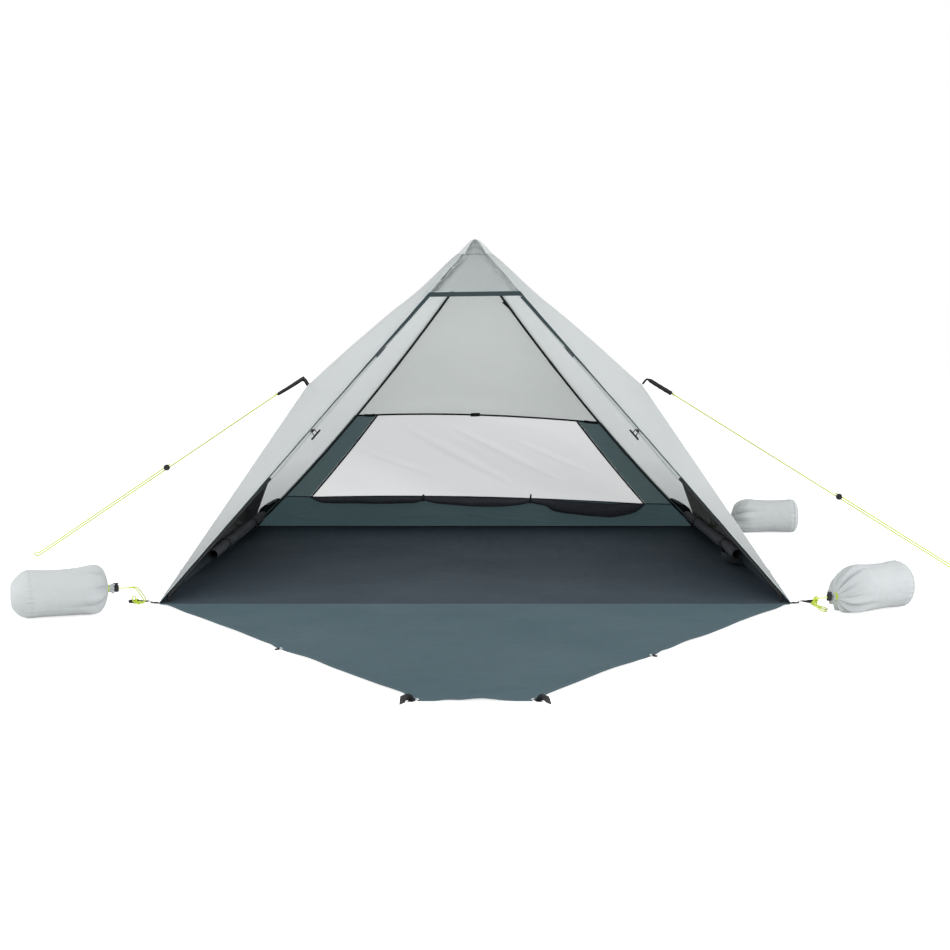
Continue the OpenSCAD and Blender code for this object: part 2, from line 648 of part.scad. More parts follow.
// Round sliders with two bores, one for each strand
slider_d = 24;
slider_t = 10;
slider_bore = cord_d + 2;
strand_gap = 8.6;
left_slider_share = 0.46;
right_slider_share = 0.61;
module guy_slider(route, share) {
    start = route[0];
    finish = route[4];
    place(lerp(start, finish, share), finish - start, [0, 0, 1]) translate([0, 0, strand_gap / 2])
        difference() {
            union() {
                rotate([90, 0, 0]) cylinder(d = slider_d, h = slider_t, center = true, $fn = 48);
                rotate([90, 0, 0]) cylinder(d = slider_d - 4, h = slider_t + 2, center = true, $fn = 48);
            }
            for (e = [-1, 1]) translate([0, 0, e * strand_gap / 2])
                rod(slider_bore, -slider_d, slider_d);
        }
}
module left_guy_slider() color(charcoal) guy_slider(left_guy_route, left_slider_share);
module right_guy_slider() color(charcoal) guy_slider(right_guy_route, right_slider_share);

// ---- Sandbags ----

// Places of the bags: [x and y of the neck, direction to the bottom in degrees, neck height]
front_left_place = [[-half - 123, -half - 175], 190, 80];
front_right_place = [[half + 99, -half - 185], 31, 56];
rear_left_place = [[-half - 35, half + 95], 90, 60];
rear_right_place = [[half + 124, half - 200], 0, 70];

// A bag is swept from rings: a gathered neck, a full body that lies flat on the ground, and a
// rounded bottom
bag_r = bag_d / 2;
neck_r = 11;
ruffle_len = 14;
shoulder_len = 95;
bottom_r = 28;
bag_sides = 24;
body_z = bag_r - 3;
function shoulder_r(x) = neck_r + (bag_r - neck_r) * pow(sin(90 * x / shoulder_len), 0.8);
function bottom_ring_r(a) = bag_r - bottom_r * (1 - cos(a));
function ease(t) = t * t * (3 - 2 * t);
bag_stations = concat(
    [for (x = [-ruffle_len, -ruffle_len / 2]) [x, neck_r * (1 - 0.35 * x / ruffle_len), 0]],
    [for (i = [0 : 7]) let (x = shoulder_len * pow(i / 7, 1.5)) [x, shoulder_r(x), ease(x / shoulder_len)]],
    [for (a = [0 : 15 : 75]) [bag_len - bottom_r + bottom_r * sin(a), bottom_ring_r(a), 1]],
    [[bag_len, bag_r - bottom_r, 1]]);
module bag(at) place([at[0][0], at[0][1], 0], [cos(at[1]), sin(at[1]), 0]) {
    n = len(bag_stations);
    m = bag_sides;
    rings = [for (b = bag_stations) for (k = [0 : m - 1]) let (a = k * 360 / m)
        [b[0], b[1] * sin(a), max(0, lerp(at[2], body_z, b[2]) + b[1] * cos(a))]];
    walls = [for (i = [0 : n - 2]) for (k = [0 : m - 1]) let (j = (k + 1) % m)
        each [[i * m + k, (i + 1) * m + j, (i + 1) * m + k], [i * m + k, i * m + j, (i + 1) * m + j]]];
    polyhedron(rings, concat(walls, [[for (k = [m - 1 : -1 : 0]) k]],
        [[for (k = [0 : m - 1]) (n - 1) * m + k]]));
}
module front_left_sandbag() color(outer_light) bag(front_left_place);
module front_right_sandbag() color(outer_light) bag(front_right_place);
module rear_left_sandbag() color(outer_light) bag(rear_left_place);
module rear_right_sandbag() color(outer_light) bag(rear_right_place);

// Cord locks stand on the cord beyond each neck
lock_x = -ruffle_len - 4 - lock_d / 2;
lock_bore = cord_d + 1.6;
plunger_d = lock_d - 6;
plunger_travel = 3.5;
module at_lock(at) place([at[0][0], at[0][1], at[2]], [cos(at[1]), sin(at[1]), 0])
    translate([lock_x, 0, 0]) children();
module lock_barrel(at) color(charcoal) at_lock(at) difference() {
    union() {
        translate([0, 0, -lock_h / 2]) cylinder(d = lock_d, h = lock_h, $fn = 40);
        translate([0, 0, -lock_h / 2 - 1.2]) cylinder(d1 = lock_d - 3, d2 = lock_d, h = 1.2, $fn = 40);
    }
    translate([0, 0, -lock_h / 2 + 3]) cylinder(d = plunger_d + 0.5, h = lock_h, $fn = 40);
    rod(lock_bore, -lock_d, lock_d);
}
module lock_plunger(at) color([0.20, 0.21, 0.23]) at_lock(at) difference() {
    union() {
        translate([0, 0, -lock_h / 2 + 3.4 + plunger_travel])
            cylinder(d = plunger_d, h = lock_h - 2.6, $fn = 40);
        translate([0, 0, lock_h / 2 + 0.4 + plunger_travel]) cylinder(d = lock_d - 2, h = 3, $fn = 40);
    }
    rod(lock_bore, -lock_d, lock_d);
    translate([0, 0, plunger_travel]) rod(lock_bore, -lock_d, lock_d);
    translate([-lock_d, -lock_bore / 2, 0]) cube([2 * lock_d, lock_bore, plunger_travel]);
}
module front_left_cord_lock() lock_barrel(front_left_place);
module front_right_cord_lock() lock_barrel(front_right_place);
module rear_left_cord_lock() lock_barrel(rear_left_place);
module rear_right_cord_lock() lock_barrel(rear_right_place);
module front_left_plunger() lock_plunger(front_left_place);
module front_right_plunger() lock_plunger(front_right_place);
module rear_left_plunger() lock_plunger(rear_left_place);
module rear_right_plunger() lock_plunger(rear_right_place);

// Hooks join the bag cords to the corner rings: an eye round the ring, a shank and a cord eye
hook_wire = 2;
hook_eye_r = 2.9;
hook_len = 38;
module hook() {
    rotate([90, 0, 0]) rotate_extrude($fn = 40) translate([hook_eye_r, 0])
        circle(d = hook_wire, $fn = 20);
    rod(4.6, hook_eye_r + 0.6, hook_len - 3.6);
    translate([hook_len, 0, 0]) rotate_extrude($fn = 40) translate([4.2, 0])
        circle(d = hook_wire, $fn = 20);
}
bow_reach = 3 + ring_w / 2;
module cord_hooks() color(charcoal) each_corner()
    translate([tab_len + bow_reach * cos(ring_tilt) + 0.4, 0, eye_d / 2 + bow_reach * sin(ring_tilt)])
        hook();

// Routes of the bag cords, from the hook through the lock to the bag's neck, measured outwards
// from the corner of the floor
function from_corner(s, f, points) = [for (p = points) [s * (half + p[0]), f * (half + p[1]), p[2]]];
front_left_bag_route = from_corner(-1, -1, [
    [74, -7, 7], [71, 2, 6], [62, 12, 5], [50, 20, 6], [40, 32, 10], [35, 50, 18], [34, 72, 29],
    [35, 95, 42], [37, 118, 57], [40, 138, 70], [45, 153, 78], [52, 161, 80], [60, 164, 80],
    [108.7, 172.5, 80]]);
front_right_bag_route = from_corner(1, -1, [
    [74, -7, 7], [71, 3, 5], [66, 18, 4], [63, 40, 3], [65, 65, 3], [71, 90, 3], [78, 115, 3],
    [81, 140, 3], [77, 163, 4], [66, 182, 7], [54, 196, 12], [40, 210, 22], [28, 220, 34],
    [21, 226, 46], [23, 228, 54], [32, 225, 56], [44, 218, 56], [86.5, 192.5, 56]]);
rear_left_bag_route = from_corner(-1, 1, [
    [74, -7, 7], [77, 2, 6], [82, 12, 8], [81, 21, 16], [72, 24, 30], [58, 22, 44], [46, 21, 54],
    [38, 23, 59], [35, 31, 60], [35, 80.5, 60]]);
rear_right_bag_route = from_corner(1, 1, [
    [74, -19, 7], [71, -30, 5], [62, -50, 4], [52, -80, 4], [46, -110, 8], [41, -138, 20],
    [37, -160, 38], [36, -178, 54], [39, -191, 65], [47, -198, 70], [60, -200, 70],
    [109.5, -200, 70]]);
module front_left_bag_cord() color(lime) cord_tube(front_left_bag_route, cord_d, [0, 0, 1]);
module front_right_bag_cord() color(lime) cord_tube(front_right_bag_route, cord_d, [0, 0, 1]);
module rear_left_bag_cord() color(lime) cord_tube(rear_left_bag_route, cord_d, [0, 0, 1]);
module rear_right_bag_cord() color(lime) cord_tube(rear_right_bag_route, cord_d, [0, 0, 1]);

visor_panel();
front_left_panel();
front_right_panel();
rear_left_panel();
rear_right_panel();
side_lower_panels();
side_mesh_windows();
ground_bands();
rear_upper_panel();
rear_window_film();
window_side_strips();
window_head_binding();
opening_binding();
window_cover_roll();
side_cover_rolls();
cover_ties();
storage_pouch();
peak_cap();
groundsheet();
door_panel();
door_tabs();
left_edge_ring();
right_edge_ring();
left_tip_ring();
right_tip_ring();
webbing_loops();
corner_rings();
peak_hub();
front_left_pole();
front_right_pole();
rear_left_pole();
rear_right_pole();
pole_ferrules();
pole_tips();
corner_cups();
pole_shock_cords();
left_toggle();
right_toggle();
pull_out_straps();
left_guy_line();
right_guy_line();
left_guy_slider();
right_guy_slider();
front_left_sandbag();
front_right_sandbag();
rear_left_sandbag();
rear_right_sandbag();
front_left_bag_cord();
front_right_bag_cord();
rear_left_bag_cord();
rear_right_bag_cord();
cord_hooks();
front_left_cord_lock();
front_right_cord_lock();
rear_left_cord_lock();
rear_right_cord_lock();
front_left_plunger();
front_right_plunger();
rear_left_plunger();
rear_right_plunger();
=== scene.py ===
# %% [markdown]
# # A beach tarp shelter
# The shelter is a square pyramid of thin coated cloth on four poles. Its front is open under a
# small visor, and the door panel lies folded down on the ground. The hard pieces come from the
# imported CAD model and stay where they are. This lesson makes the cloth, the cords and the bags
# round them, and gives every piece its finish.

# %% Load the frame
import json
import math

import bmesh
import bpy
import numpy as np
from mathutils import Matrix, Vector, noise

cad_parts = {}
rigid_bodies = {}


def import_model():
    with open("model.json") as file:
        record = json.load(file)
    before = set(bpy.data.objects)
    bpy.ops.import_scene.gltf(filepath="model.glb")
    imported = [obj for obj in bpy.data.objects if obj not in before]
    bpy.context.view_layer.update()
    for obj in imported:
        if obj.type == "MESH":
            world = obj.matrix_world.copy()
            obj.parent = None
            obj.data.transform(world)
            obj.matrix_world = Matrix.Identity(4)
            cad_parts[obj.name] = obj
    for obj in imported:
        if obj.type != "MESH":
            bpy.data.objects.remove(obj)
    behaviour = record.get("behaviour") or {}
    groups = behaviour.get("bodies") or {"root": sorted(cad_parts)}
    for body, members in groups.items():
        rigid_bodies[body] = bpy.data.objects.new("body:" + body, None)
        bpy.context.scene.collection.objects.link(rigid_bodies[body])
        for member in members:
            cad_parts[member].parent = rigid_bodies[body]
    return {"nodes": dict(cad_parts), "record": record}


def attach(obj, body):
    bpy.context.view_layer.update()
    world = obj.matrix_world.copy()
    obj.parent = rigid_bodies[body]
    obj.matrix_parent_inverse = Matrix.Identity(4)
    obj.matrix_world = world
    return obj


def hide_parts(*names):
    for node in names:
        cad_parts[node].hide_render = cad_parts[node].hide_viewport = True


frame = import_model()
NODES, RECORD = frame["nodes"], frame["record"]
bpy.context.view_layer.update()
for obj in bpy.data.objects:
    obj.select_set(False)

# %% [markdown]
# The camera comes first, because the cords are checked against what it sees. A real viewer would
# stand about six metres away and look slightly down, so the lens is a short telephoto one.

# %% Camera
CAMERA_AT = (0.0, -5.9466, 0.854)
CAMERA_DOWN_DEG = 4.963
camera_data = bpy.data.cameras.new("viewer")
camera_data.sensor_width = 36.0
camera_data.lens = 56.57
camera = bpy.data.objects.new("viewer", camera_data)
camera.location = CAMERA_AT
camera.rotation_euler = (math.radians(90 - CAMERA_DOWN_DEG), 0, 0)
bpy.context.scene.collection.objects.link(camera)
bpy.context.scene.camera = camera
print("camera lens", camera_data.lens)

# %% [markdown]
# ## Small helpers
# Cloth and cords are built as rows of points that become a mesh of quads. A few helpers measure
# distances to seams, make smooth steps and turn the rows into an object with a UV map in metres,
# so that a weave keeps its real size on every piece.


# %% Vector helpers
def unit(v):
    v = np.asarray(v, float)
    return v / np.linalg.norm(v, axis=-1, keepdims=True)


def lerp(a, b, t):
    a, b = np.asarray(a, float), np.asarray(b, float)
    return a + (b - a) * np.asarray(t, float)[..., None] if np.ndim(t) else a + (b - a) * t


def ease(t):
    t = np.clip(t, 0.0, 1.0)
    return t * t * (3 - 2 * t)


def bell(x, width=1.0):
    return np.exp(-((x / width) ** 2))


def turned(angle):
    """The same angle, from minus half a turn to half a turn."""
    return np.angle(np.exp(1j * angle))


def soft_noise(points, scale, seed):
    """Smooth noise from -1 to 1 at each point, the same at every run."""
    flat = np.asarray(points, float).reshape(-1, 3) * scale + seed
    made = np.array([noise.noise(Vector(p)) for p in flat])
    return made.reshape(np.shape(points)[:-1])


def noise_at(x, y, z):
    """The same noise at places whose numbers are given one by one."""
    return soft_noise(np.stack(np.broadcast_arrays(x, y, z), axis=-1), 1.0, 0.0)


def distance_to_path(points, path):
    """Distance of each point to a polyline, and how far along it the nearest place is."""
    flat = np.asarray(points, float).reshape(-1, 3)
    path = np.asarray(path, float)
    best, along = np.full(len(flat), 1e9), np.zeros(len(flat))
    passed = 0.0
    for a, b in zip(path[:-1], path[1:]):
        edge = b - a
        length = np.linalg.norm(edge)
        t = np.clip((flat - a) @ edge / length**2, 0, 1)
        d = np.linalg.norm(flat - a - t[:, None] * edge, axis=1)
        nearer = d < best
        best[nearer], along[nearer] = d[nearer], passed + t[nearer] * length
        passed += length
    shape = np.shape(points)[:-1]
    return best.reshape(shape), along.reshape(shape)


print("helpers ready")


# %% Rows of points to a mesh
WELD = 0.00005
BODY = "shelter"
CABIN = np.array([0.0, 0.0, 0.35])


def row_lengths(rows):
    """Running length along each row, centred on the row's middle, and down the middle column."""
    across = np.zeros(rows.shape[:2])
    across[:, 1:] = np.cumsum(np.linalg.norm(np.diff(rows, axis=1), axis=2), axis=1)
    across -= across[:, -1:] / 2
    down = np.zeros(rows.shape[0])
    middle = rows[:, rows.shape[1] // 2]
    down[1:] = np.cumsum(np.linalg.norm(np.diff(middle, axis=0), axis=1))
    return across, down


def mesh_object(name, bm):
    """Puts a mesh that is ready into the scene."""
    mesh = bpy.data.meshes.new(name)
    bm.to_mesh(mesh)
    bm.free()
    made = bpy.data.objects.new(name, mesh)
    bpy.context.scene.collection.objects.link(made)
    return made


def cloth_object(name, patches, outward_from=None, closed=False):
    """One object from several patches, each rows or (rows, material index). Faces turn away from
    a point, or outwards where the piece is closed."""
    bm = bmesh.new()
    uv_layer = bm.loops.layers.uv.new("UVMap")
    for patch in patches:
        rows, material_index = patch if isinstance(patch, tuple) else (patch, 0)
        n, m = rows.shape[:2]
        across, down = row_lengths(rows)
        verts = [[bm.verts.new(rows[i, j]) for j in range(m)] for i in range(n)]
        for i in range(n - 1):
            for j in range(m - 1):
                corners = [(i, j), (i, j + 1), (i + 1, j + 1), (i + 1, j)]
                face = bm.faces.new([verts[a][b] for a, b in corners])
                face.smooth = True
                face.material_index = material_index
                for loop, (a, b) in zip(face.loops, corners):
                    loop[uv_layer].uv = (across[a, b], down[a])
    bmesh.ops.remove_doubles(bm, verts=bm.verts, dist=WELD)
    bmesh.ops.dissolve_degenerate(bm, edges=bm.edges, dist=WELD)
    if outward_from is not None:
        centre = Vector(outward_from)
        wrong = [f for f in bm.faces if f.normal.dot(f.calc_center_median() - centre) < 0]
        bmesh.ops.reverse_faces(bm, faces=wrong)
    if closed:
        bmesh.ops.recalc_face_normals(bm, faces=bm.faces)
    return mesh_object(name, bm)


def paint(obj, *names):
    """Gives an object its materials. Its faces keep their material numbers."""
    numbers = [min(p.material_index, len(names) - 1) for p in obj.data.polygons]
    obj.data.materials.clear()
    for name in names:
        obj.data.materials.append(bpy.data.materials[name])
    obj.data.polygons.foreach_set("material_index", numbers)


def wear(obj, looks, nodes=(), body=BODY):
    """Paints a piece and says which finish it takes, which CAD nodes it replaces and which body it
    rides on."""
    paint(obj, *looks)
    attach(obj, body)
    if nodes:
        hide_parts(*nodes)
    print(obj.name, len(obj.data.polygons), "faces")
    return obj


def cloth_piece(name, patches, looks, nodes=(), body=BODY, away=CABIN,
                closed=False):
    """A finished piece of cloth. A sheet is (width, how it is held, what it rests on), and its
    length follows from its area, with 4% for shaping."""
    made = wear(cloth_object(name, patches, away, closed), looks, nodes, body)
    return made


print("mesh helpers ready")

# %% [markdown]
# ## Cords
# A guy line is a thin braided cord, held taut from the strap on the wall to where its peg would
# stand, round that and back up to its slider. A bag cord is the same cord, slack on the
# ground. Each is a tube swept along its route, and its UV map runs along and round the cord, so
# that the braid follows every bend.


# %% Tubes along a route
def smooth_route(points, step):
    """A Catmull-Rom curve through the points, cut into pieces of about one step."""
    p = np.asarray(points, float)
    p = np.vstack([2 * p[0] - p[1], p, 2 * p[-1] - p[-2]])
    made = []
    for i in range(1, len(p) - 2):
        count = max(1, int(math.ceil(np.linalg.norm(p[i + 1] - p[i]) / step)))
        for t in np.arange(count) / count:
            a, b, c, d = p[i - 1 : i + 3]
            made.append(0.5 * (2 * b + (c - a) * t + (2 * a - 5 * b + 4 * c - d) * t**2
                               + (3 * b - a - 3 * c + d) * t**3))
    made.append(p[-2])
    return np.array(made)


def across_axis(axis, upward=(0, 0, 1.0)):
    """A unit axis, the direction across it that is nearest to upward, and the third one."""
    axis = unit(axis)
    up = unit(np.array(upward) - axis * axis[2])
    return axis, up, np.cross(axis, up)


def tube_object(name, route, radius, sides=12):
    """A tube with closed ends. radius is one number, or one for each point of the route."""
    route = np.asarray(route, float)
    radii = np.broadcast_to(np.asarray(radius, float), (len(route),))
    tangents = unit(np.gradient(route, axis=0))
    normal = unit(np.cross(tangents[0], [0.3, 0.2, 1.0]))
    rings, run = [], 0.0
    bm = bmesh.new()
    uv_layer = bm.loops.layers.uv.new("UVMap")
    angles = np.arange(sides) * 2 * math.pi / sides
    for i, (p, t, r) in enumerate(zip(route, tangents, radii)):
        normal = unit(normal - t * (normal @ t))
        side = np.cross(t, normal)
        if i:
            run += np.linalg.norm(p - route[i - 1])
        ring = [bm.verts.new(p + r * (math.cos(a) * normal + math.sin(a) * side)) for a in angles]
        rings.append((ring, run))
    for (low, at), (high, to) in zip(rings[:-1], rings[1:]):
        for k in range(sides):
            j = (k + 1) % sides
            face = bm.faces.new([low[k], low[j], high[j], high[k]])
            face.smooth = True
            around = [k / sides, (k + 1) / sides, (k + 1) / sides, k / sides]
            for loop, u, v in zip(face.loops, [at, at, to, to], around):
                loop[uv_layer].uv = (u, v)
    bm.faces.new(list(reversed(rings[0][0])))
    bm.faces.new(rings[-1][0])
    return mesh_object(name, bm)


print("tube helper ready")

# %% Routes of the cords, in millimetres
MM = 0.001
CORD_D, BAG_CORD_D = 0.0046, 0.0036
GUY_ROUTES = {
    "left": [[-784, 0, 663], [-1030, 19, 499], [-1276, 38, 335], [-1522, 57, 171],
             [-1768, 76, 7], [-1776, 77, 3], [-1785, 77, 2], [-1792, 78, 6], [-1791, 77, 13],
             [-1783, 77, 17], [-1773, 76, 14], [-1527, 57, 178], [-1281, 38, 342],
             [-1227, 34, 378]],
    "right": [[784, 0, 663], [1041, -74, 500], [1298, -148, 337], [1555, -222, 174],
              [1812, -296, 11], [1820, -298, 5], [1829, -300, 2], [1838, -302, 4],
              [1841, -303, 11], [1836, -302, 18], [1826, -299, 22], [1816, -297, 19],
              [1559, -223, 182], [1400, -177, 283]],
}
BAG_ROUTES = {
    "front_left": [[-1124, -1043, 7], [-1121, -1052, 6], [-1112, -1062, 5], [-1100, -1070, 6],
                   [-1090, -1082, 10], [-1085, -1100, 18], [-1084, -1122, 29],
                   [-1085, -1145, 42], [-1087, -1168, 57], [-1090, -1188, 70],
                   [-1095, -1203, 78], [-1102, -1211, 80], [-1110, -1214, 80],
                   [-1158.7, -1222.5, 80]],
    "front_right": [[1124, -1043, 7], [1121, -1053, 5], [1116, -1068, 4], [1113, -1090, 3],
                    [1115, -1115, 3], [1121, -1140, 3], [1128, -1165, 3], [1131, -1190, 3],
                    [1127, -1213, 4], [1116, -1232, 7], [1104, -1246, 12], [1090, -1260, 22],
                    [1078, -1270, 34], [1071, -1276, 46], [1073, -1278, 54],
                    [1082, -1275, 56], [1094, -1268, 56], [1136.5, -1242.5, 56]],
    "rear_left": [[-1124, 1043, 7], [-1127, 1052, 6], [-1132, 1062, 8], [-1131, 1071, 16],
                  [-1122, 1074, 30], [-1108, 1072, 44], [-1096, 1071, 54], [-1088, 1073, 59],
                  [-1085, 1081, 60], [-1085, 1130.5, 60]],
    "rear_right": [[1124, 1031, 7], [1121, 1020, 5], [1112, 1000, 4], [1102, 970, 4],
                   [1096, 940, 8], [1091, 912, 20], [1087, 890, 38], [1086, 872, 54],
                   [1089, 859, 65], [1097, 852, 70], [1110, 850, 70], [1159.5, 850, 70]],
}
print("routes:", len(GUY_ROUTES) + len(BAG_ROUTES))

# %% [markdown]
# ## Finishes
# Coated polyester has a fine plain weave under a thin coating. Several cloths here share that
# weave, so it is one node group, used with its own thread size and depth in each material. Other
# groups give the slow unevenness of dyed cloth, the braid of a cord and the grain of a moulding.


# %% Node group helpers
class Value:
    """A value in a node tree. Sums and products of values become Math nodes."""

    def __init__(self, graph, socket):
        self.graph, self.socket = graph, socket

    def __add__(self, other):
        return self.graph.math("ADD", self, other)

    def __sub__(self, other):
        return self.graph.math("SUBTRACT", self, other)

    def __rsub__(self, other):
        return self.graph.math("SUBTRACT", other, self)

    def __mul__(self, other):
        return self.graph.math("MULTIPLY", self, other)

    def __truediv__(self, other):
        return self.graph.math("DIVIDE", self, other)

    def __abs__(self):
        return self.graph.math("ABSOLUTE", self)


class Graph:
    """Short ways to place nodes in a tree and wire them up."""

    def __init__(self, tree):
        self.tree = tree

    def fill(self, made, inputs):
        """Sets a node's inputs, each from a value in the tree or a plain one."""
        for key, value in inputs.items():
            if isinstance(value, Value):
                self.tree.links.new(value.socket, made.inputs[key])
            else:
                made.inputs[key].default_value = value
        return made

    def node(self, kind, inputs=None, **settings):
        made = self.tree.nodes.new(f"ShaderNode{kind}")
        for key, value in settings.items():
            setattr(made, key, value)
        return self.fill(made, inputs or {})

    def out(self, made, output=0):
        return Value(self, made.outputs[output])

    def math(self, operation, *values):
        return self.out(self.node("Math", dict(enumerate(values)), operation=operation))

    def parts(self, vector):
        """The three numbers of a vector."""
        split = self.node("SeparateXYZ", {0: vector})
        return [self.out(split, k) for k in range(3)]

    def mix(self, share, a, b):
        return self.out(self.node("Mix", {0: share, 6: a, 7: b}, data_type="RGBA"), 2)

    def ramp(self, value, low, high, to_low=0.0, to_high=1.0):
        return self.out(self.node("MapRange", {"Value": value, "From Min": low, "From Max": high,
                                               "To Min": to_low, "To Max": to_high}))

    def noise(self, vector, scale, detail, roughness=0.5, distortion=0.0):
        return self.out(self.node("TexNoise", {"Vector": vector, "Scale": scale, "Detail": detail,
                                               "Roughness": roughness, "Distortion": distortion}))

    def bump(self, height, distance, strength, **below):
        return self.out(self.node("Bump", {"Height": height, "Distance": distance,
                                           "Strength": strength, **below}))

    def brighten(self, color, value):
        return self.out(self.node("HueSaturation", {"Color": color, "Value": value}))

    def group(self, tree, inputs):
        return self.node("Group", inputs, node_tree=tree)

    def uv(self):
        return self.out(self.node("UVMap"))

    def place(self):
        return self.out(self.node("TexCoord"), "Object")

    def seen(self):
        """1 where a ray comes from the camera, straight or by way of a mirror or a film."""
        path = self.node("LightPath")
        camera, glossy, passed = (self.out(path, f"Is {kind} Ray")
                                  for kind in ("Camera", "Glossy", "Transmission"))
        return self.math("MAXIMUM", camera, self.math("MAXIMUM", glossy, passed))


def new_group(name, inputs, outputs):
    """A shader node group: its graph, its inputs as values, and the node for its outputs."""
    g = Graph(bpy.data.node_groups.new(name, "ShaderNodeTree"))
    for label, kind, value in inputs:
        socket = g.tree.interface.new_socket(label, in_out="INPUT", socket_type=f"NodeSocket{kind}")
        if value is not None:
            socket.default_value = value
    for label, kind in outputs:
        g.tree.interface.new_socket(label, in_out="OUTPUT", socket_type=f"NodeSocket{kind}")
    start, end = (g.tree.nodes.new(f"NodeGroup{kind}") for kind in ("Input", "Output"))
    return g, [g.out(start, label) for label, _, _ in inputs], end


print("node helpers ready")


# %% Weave group
def crossing(g, a, b):
    """Two sets of threads: the wave of each, and which of them is on top."""
    over = abs(g.math("MODULO", g.math("FLOOR", a) + g.math("FLOOR", b), 2.0))
    return *(abs(g.math("SINE", k * math.pi)) for k in (a, b)), over


def make_weave_group():
    """Height of a plain weave from a vector in metres, with threads a given pitch apart."""
    g, (vector, pitch), end = new_group(
        "Plain weave", [("Vector", "Vector", None), ("Pitch", "Float", 0.0006)],
        [("Height", "Float"), ("Gap", "Float")])
    u, v, _ = g.parts(vector)
    warp, weft, over = crossing(g, u / pitch, v / pitch)
    g.fill(end, {"Height": warp * (over + 0.35) + weft * (1.35 - over),
                 "Gap": 1.0 - warp * weft})
    return g.tree


def make_tone_group():
    """Slow unevenness of dyed cloth: colour, and a value round 1 for roughness."""
    g, (vector, color, shade, amount), end = new_group(
        "Cloth tone",
        [("Vector", "Vector", None), ("Color", "Color", (0.5, 0.5, 0.5, 1)),
         ("Shade", "Color", (0.4, 0.4, 0.4, 1)), ("Amount", "Float", 0.3)],
        [("Color", "Color"), ("Value", "Float")])
    mixed = g.noise(vector, 2.6, 4.0, 0.55) * 0.75 + g.noise(vector, 60.0, 3.0, 0.6) * 0.25
    g.fill(end, {"Color": g.mix(g.ramp(mixed, 0.35, 0.65) * amount, color, shade),
                 "Value": g.ramp(mixed, 0.3, 0.7, 0.9, 1.1)})
    return g.tree


def make_braid_group():
    """Height of a round braid from a tube's UV map: u along in metres, v once round."""
    g, (vector, pitch, strands), end = new_group(
        "Braid", [("Vector", "Vector", None), ("Pitch", "Float", 0.004),
                  ("Strands", "Float", 8.0)], [("Height", "Float")])
    u, v, _ = g.parts(vector)
    along, around = u / pitch, v * strands
    one, other, over = crossing(g, along + around, along - around)
    g.fill(end, {"Height": one * over + other * (1.0 - over)})
    return g.tree


WEAVE, TONE, BRAID = make_weave_group(), make_tone_group(), make_braid_group()
print("groups:", [t.name for t in (WEAVE, TONE, BRAID)])


# %% Material helpers
def srgb(r, g, b):
    """A colour from 0 to 255 as it is seen, turned into the linear values that nodes take."""
    def linear(c):
        c /= 255.0
        return c / 12.92 if c <= 0.04045 else ((c + 0.055) / 1.055) ** 2.4
    return (linear(r), linear(g), linear(b), 1.0)


def new_material(name):
    """Starts a material: its graph, its shader and its output."""
    material = bpy.data.materials.new(name)
    material.use_nodes = True
    g = Graph(material.node_tree)
    return g, *(next(n for n in g.tree.nodes if n.type == kind)
                for kind in ("BSDF_PRINCIPLED", "OUTPUT_MATERIAL"))


STITCH_WIDTH, STITCH_PITCH, STITCH_SHARE = 0.0009, 0.0034, 0.68


def stitch_rows(g, color, normal, uv, place, thread):
    """Adds a row of stitches at a distance from the middle line of a ribbon's UV map."""
    across, along, _ = g.parts(uv)
    line = g.math("LESS_THAN", abs(abs(across) - place), STITCH_WIDTH / 2)
    mask = line * g.math("LESS_THAN", g.math("FRACT", along / STITCH_PITCH), STITCH_SHARE)
    return g.mix(mask, color, srgb(*thread)), g.bump(mask, 0.0003, 0.7, Normal=normal)


def ridge_gathers(g, place):
    """Gathers along the front ridges above the opening: their height, and where they are. The
    ridges run straight from the corners to the peak, so a point's distance from them is a plain
    sum of its place."""
    x, _, z = g.parts(place)
    off = abs(abs(x) - (1.05 - z * 0.8273))
    near = g.ramp(off, 0.002, 0.044, 1.0, 0.0) * g.ramp(z, 1.00, 1.06, 0.0, 1.0)
    near = near * g.ramp(x, -0.03, 0.03, 1.0, 0.62)
    along = g.out(g.node("CombineXYZ", {0: off * 120.0, 1: z * 24.0, 2: x * 9.0}))
    return g.noise(along, 1.0, 2.0, 0.5, 0.9), near


